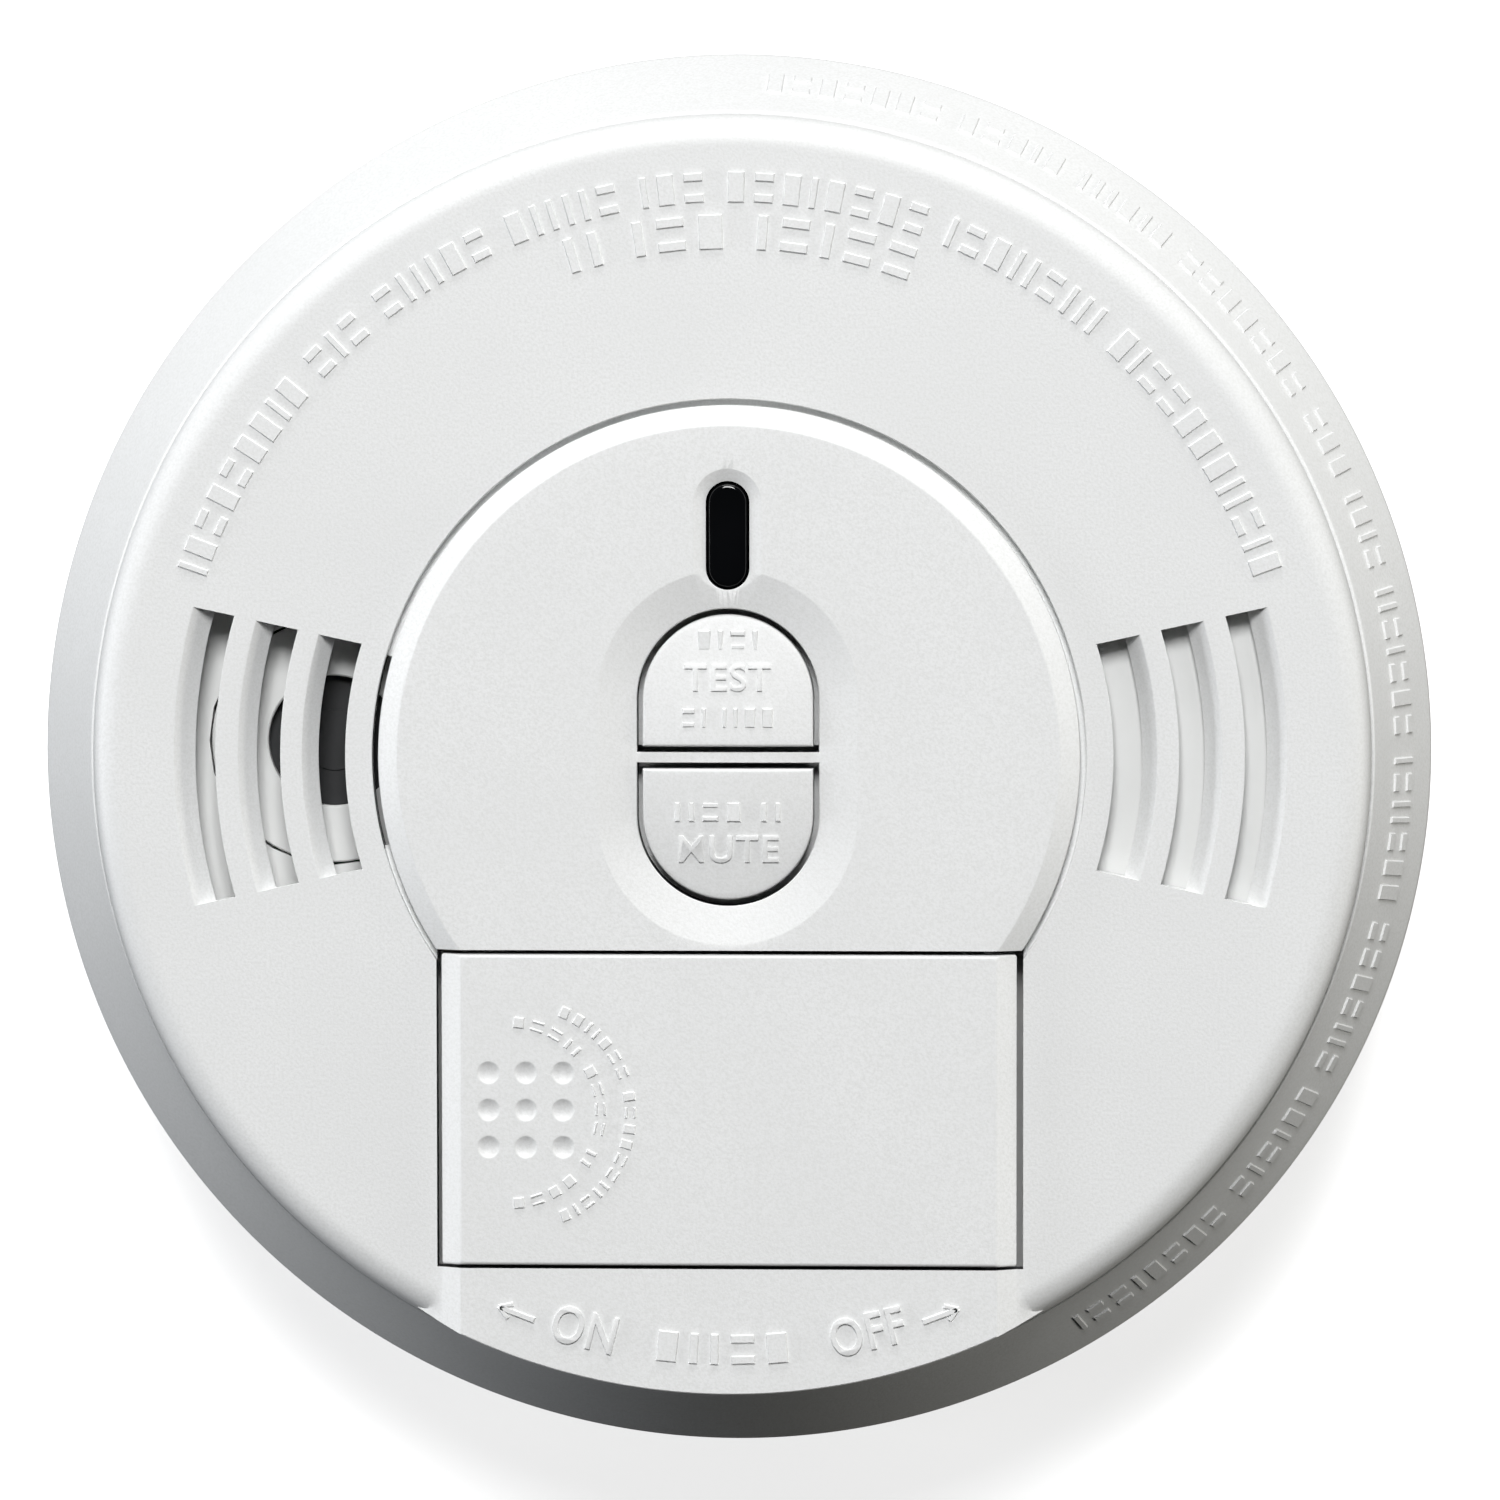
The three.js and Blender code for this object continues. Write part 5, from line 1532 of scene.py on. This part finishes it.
@dataclass
class Horn:
    """The sounder seen through the left louvres: white can, and a black disc of painted shade over
    the resonator's hole.
    """

    x: float = -41.5
    y: float = 1.4
    radius: float = 12.7
    mouth: float = 6.8
    top: float = 38.0
    bottom: float = 25.0
    wall: float = 1.2
    shade_disc_r: float = 3.2
    shade_disc_z: tuple[float, float] = (36.5, 36.65)

    def build(self) -> None:
        """Turns the horn's can and lays the black disc of painted shade."""
        edge = 0.15
        inner = self.radius - self.wall
        profile = [
            (self.mouth, self.top - edge),
            (self.mouth + edge, self.top),
            (self.radius - edge, self.top),
            (self.radius, self.top - edge),
            (self.radius, self.bottom),
            (inner, self.bottom),
            (inner, self.top - self.wall),
            (self.mouth, self.top - self.wall),
        ]
        piece = to_object(turned(profile, MEDIUM_ROUND, self.x, self.y), "horn_can")
        finish_piece(piece, INNER, Body.ALARM, "white_inner", ["horn_housing"])
        self.lay_shade_disc()

    def lay_shade_disc(self) -> None:
        """A black disc over the resonator's hole: painted shade that makes the horn's mouth read
        dark.
        """
        # painted shade: this disc stands in for the shade inside the horn's mouth
        edge = 0.05
        low, high = self.shade_disc_z
        profile = [(0, low), (self.shade_disc_r, low), (self.shade_disc_r, high - edge)]
        profile += [(self.shade_disc_r - edge, high), (0, high)]
        piece = to_object(turned(profile, SMALL_ROUND, self.x, self.y), "horn_shade_disc")
        finish_piece(piece, BLACK_AND_PAINTED_SHADE, Body.ALARM, "black_plastic")


@dataclass
class Battery:
    """The nine-volt battery: rounded case, end plate with a rolled rim."""

    corner: float = 2.2

    def build(self) -> None:
        """Models the case with rounded long edges and the rolled ends."""
        low, high = (Vector(c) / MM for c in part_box("battery_9v"))
        rings = []
        for x, inset in (
            (low.x, 1.3),
            (low.x, 0.5),
            (low.x + 0.2, 0.12),
            (low.x + 0.6, 0.0),
            (low.x + 1.6, 0.0),
            (low.x + 1.8, 0.12),
            (low.x + 2.0, 0.0),
            (high.x - 2.0, 0.0),
            (high.x - 1.8, 0.12),
            (high.x - 1.6, 0.0),
            (high.x - 0.6, 0.0),
            (high.x - 0.2, 0.12),
            (high.x, 0.5),
            (high.x, 1.3),
        ):
            outline = rectangle(
                low.y + inset, low.z + inset, high.y - inset, high.z - inset, self.corner - inset
            )
            rings.append([Vector((x, y, z)) for y, z in outline])
        piece = to_object(loft(rings), "battery_case")
        finish_piece(piece, JACKET, Body.ALARM, "battery_jacket", ["battery_9v"])


@dataclass
class PlainPieces:
    """Every other CAD node: its own shape, merged, with soft edges and smooth rounds."""

    soft_edges: dict[str, float] = field(
        default_factory=lambda: {
            "mounting_bracket": 0.25,
            "back_plate": 0.2,
            "battery_tray": 0.25,
            "mains_inlet": 0.2,
            "dropping_capacitor": 0.8,
            "alarm_chip": 0.25,
            "bridge_rectifier": 0.3,
            "smoothing_capacitor": 0.5,
            "horn_coil": 0.3,
            "surge_varistor": 1.0,
            "power_resistor_1": 0.5,
            "power_resistor_2": 0.5,
            "housing_screw_1": 0.15,
            "housing_screw_2": 0.15,
            "housing_screw_3": 0.15,
            "battery_terminal_positive": 0.25,
            "battery_terminal_negative": 0.25,
        }
    )
    springs: dict[str, str] = field(
        default_factory=lambda: {
            "test_button_spring": "test_press",
            "silence_button_spring": "silence_press",
        }
    )
    button_travel: float = 0.8

    def build(self, frame: dict) -> None:
        """Copies, refines and dresses each node that nothing stands for yet.
        """
        record = frame["record"]
        slots = {part["node"]: part["material_slot"] for part in record["subparts"]}
        for name, node in sorted(frame["nodes"].items()):
            if node.hide_render:
                continue
            shape = bmesh.new()
            shape.from_mesh(node.data)
            bmesh.ops.remove_doubles(shape, verts=shape.verts, dist=2e-6)
            bmesh.ops.scale(shape, vec=(1 / MM,) * 3, verts=shape.verts)
            bmesh.ops.dissolve_limit(
                shape, angle_limit=math.radians(0.5), verts=shape.verts, edges=shape.edges
            )
            width = self.soft_edges.get(name, 0.0)
            if width:
                sharp = [e for e in shape.edges if e.is_manifold and e.calc_face_angle() > 0.7]
                round_edges(shape, sharp, width, 2)
            piece = to_object(shape, f"{name}_piece")
            slot = slots[name]
            finish_piece(piece, SLOT_FINISHES[slot], Body(node["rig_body"]), slot, [name])
            if name in self.springs:
                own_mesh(piece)


# ---------------------------------------------------------------- stage


@dataclass
class Studio:
    """Camera, pale floor and soft lights."""

    camera_at: tuple[float, float, float] = (39.81, 39.71, 800.0)  # mm
    camera_turn: tuple[float, float, float] = (-2.948, 2.839, -0.07)  # degrees
    focal: float = 176.42
    floor_size: float = 12.0  # m

    def build(self) -> None:
        """Sets up everything that isn't the object."""
        scene = bpy.context.scene
        scene.view_settings.view_transform = "Standard"
        scene.view_settings.look = "None"
        self.camera()
        self.floor()
        self.world()
        target = Vector((0, 0, 0.04))
        self.light("key_top", target, 90, 56, 2.6, (1.0, 1.0), 67.0, "#ffffff")
        self.light("rim_top", target, 90, 14, 2.0, (1.4, 0.4), 16.0, "#ffffff")
        self.light("side_right", target, -6, 4, 2.0, (0.6, 0.6), 16.0, "#fffdf6")
        self.light("side_left", target, 182, 4, 2.0, (0.6, 0.6), 22.5, "#f8fbff")

    def camera(self) -> None:
        """The camera, nearly square to the face."""
        data = bpy.data.cameras.new("camera")
        data.lens = self.focal
        data.clip_start, data.clip_end = 0.01, 50
        made = bpy.data.objects.new("camera", data)
        made.location = Vector(self.camera_at) * MM
        made.rotation_euler = Euler([math.radians(a) for a in self.camera_turn], "XYZ")
        bpy.context.scene.collection.objects.link(made)
        bpy.context.scene.camera = made

    def light(
        self,
        name: str,
        target: Vector,
        azimuth: float,
        elevation: float,
        distance: float,
        size: tuple[float, float],
        power: float,
        colour: str,
    ) -> None:
        """Adds one soft box.

        Args:
            name: The light's name.
            target: What it looks at, m.
            azimuth: Its direction round the face, degrees from +X.
            elevation: Its angle above the ceiling plane, degrees.
            distance: From the target, m.
            size: Its width and height, m.
            power: Watts.
            colour: sRGB hex.
        """
        a, e = math.radians(azimuth), math.radians(elevation)
        back = Vector((math.cos(a) * math.cos(e), math.sin(a) * math.cos(e), math.sin(e)))
        data = bpy.data.lights.new(name, "AREA")
        data.shape = "RECTANGLE"
        data.size, data.size_y = size
        data.energy = power
        data.color = linear(colour)[:3]
        made = bpy.data.objects.new(name, data)
        made.location = target + back * distance
        made.rotation_euler = (-back).to_track_quat("-Z", "Y").to_euler()
        bpy.context.scene.collection.objects.link(made)

    def floor(self) -> None:
        """A wide pale floor that keeps the object's shadow short and throws no light back."""
        shape = bmesh.new()
        bmesh.ops.create_grid(shape, x_segments=1, y_segments=1, size=self.floor_size / MM / 2)
        bmesh.ops.scale(shape, vec=(MM,) * 3, verts=shape.verts)
        made = to_object(shape, "floor")
        material = bpy.data.materials.new("paper_white")
        material.use_nodes = True
        tree = material.node_tree
        shader = tree.nodes["Principled BSDF"]
        shader.inputs["Base Color"].default_value = linear("#f4f4f4")
        shader.inputs["Roughness"].default_value = 0.9
        shader.inputs["Emission Color"].default_value = linear("#ffffff")
        shader.inputs["Emission Strength"].default_value = 0.72
        made.data.materials.append(material)
        made.visible_diffuse = False
        made.visible_glossy = False

    def world(self) -> None:
        """Pale to the camera, dim to the object, so that the soft boxes shape it."""
        world = bpy.data.worlds.new("studio")
        bpy.context.scene.world = world
        world.use_nodes = True
        tree = world.node_tree
        tree.nodes.clear()
        path = add_node(tree, "ShaderNodeLightPath").outputs["Is Camera Ray"]
        dim = add_node(tree, "ShaderNodeBackground", {"Strength": 0.008})
        pale = add_node(tree, "ShaderNodeBackground", {"Strength": 1.0})
        for node in (dim, pale):
            node.inputs["Color"].default_value = linear("#ffffff")
        mix = add_node(
            tree,
            "ShaderNodeMixShader",
            {},
            {0: path, 1: dim.outputs["Background"], 2: pale.outputs["Background"]},
        )
        add_node(tree, "ShaderNodeOutputWorld", {}, {"Surface": mix.outputs["Shader"]})


def main() -> None:
    """Builds the alarm round its frame and sets the stage."""
    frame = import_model()
    for assembly in (
        Housing(),
        Cover(),
        Door(),
        PushButton(
            "test_button",
            Body.TEST,
            1,
            "TEST",
            ((12.1, 6.2, (4,)), (4.1, 9.4, (2, 4))),
            8.1,
        ),
        PushButton("silence_button", Body.SILENCE, -1, "MUTE", ((-5.6, 11.0, (4, 2)),), -9.6),
        StatusLens(),
        Horn(),
        Battery(),
    ):
        assembly.build()
    PlainPieces().build(frame)
    Studio().build()


if __name__ == "__main__":
    main()
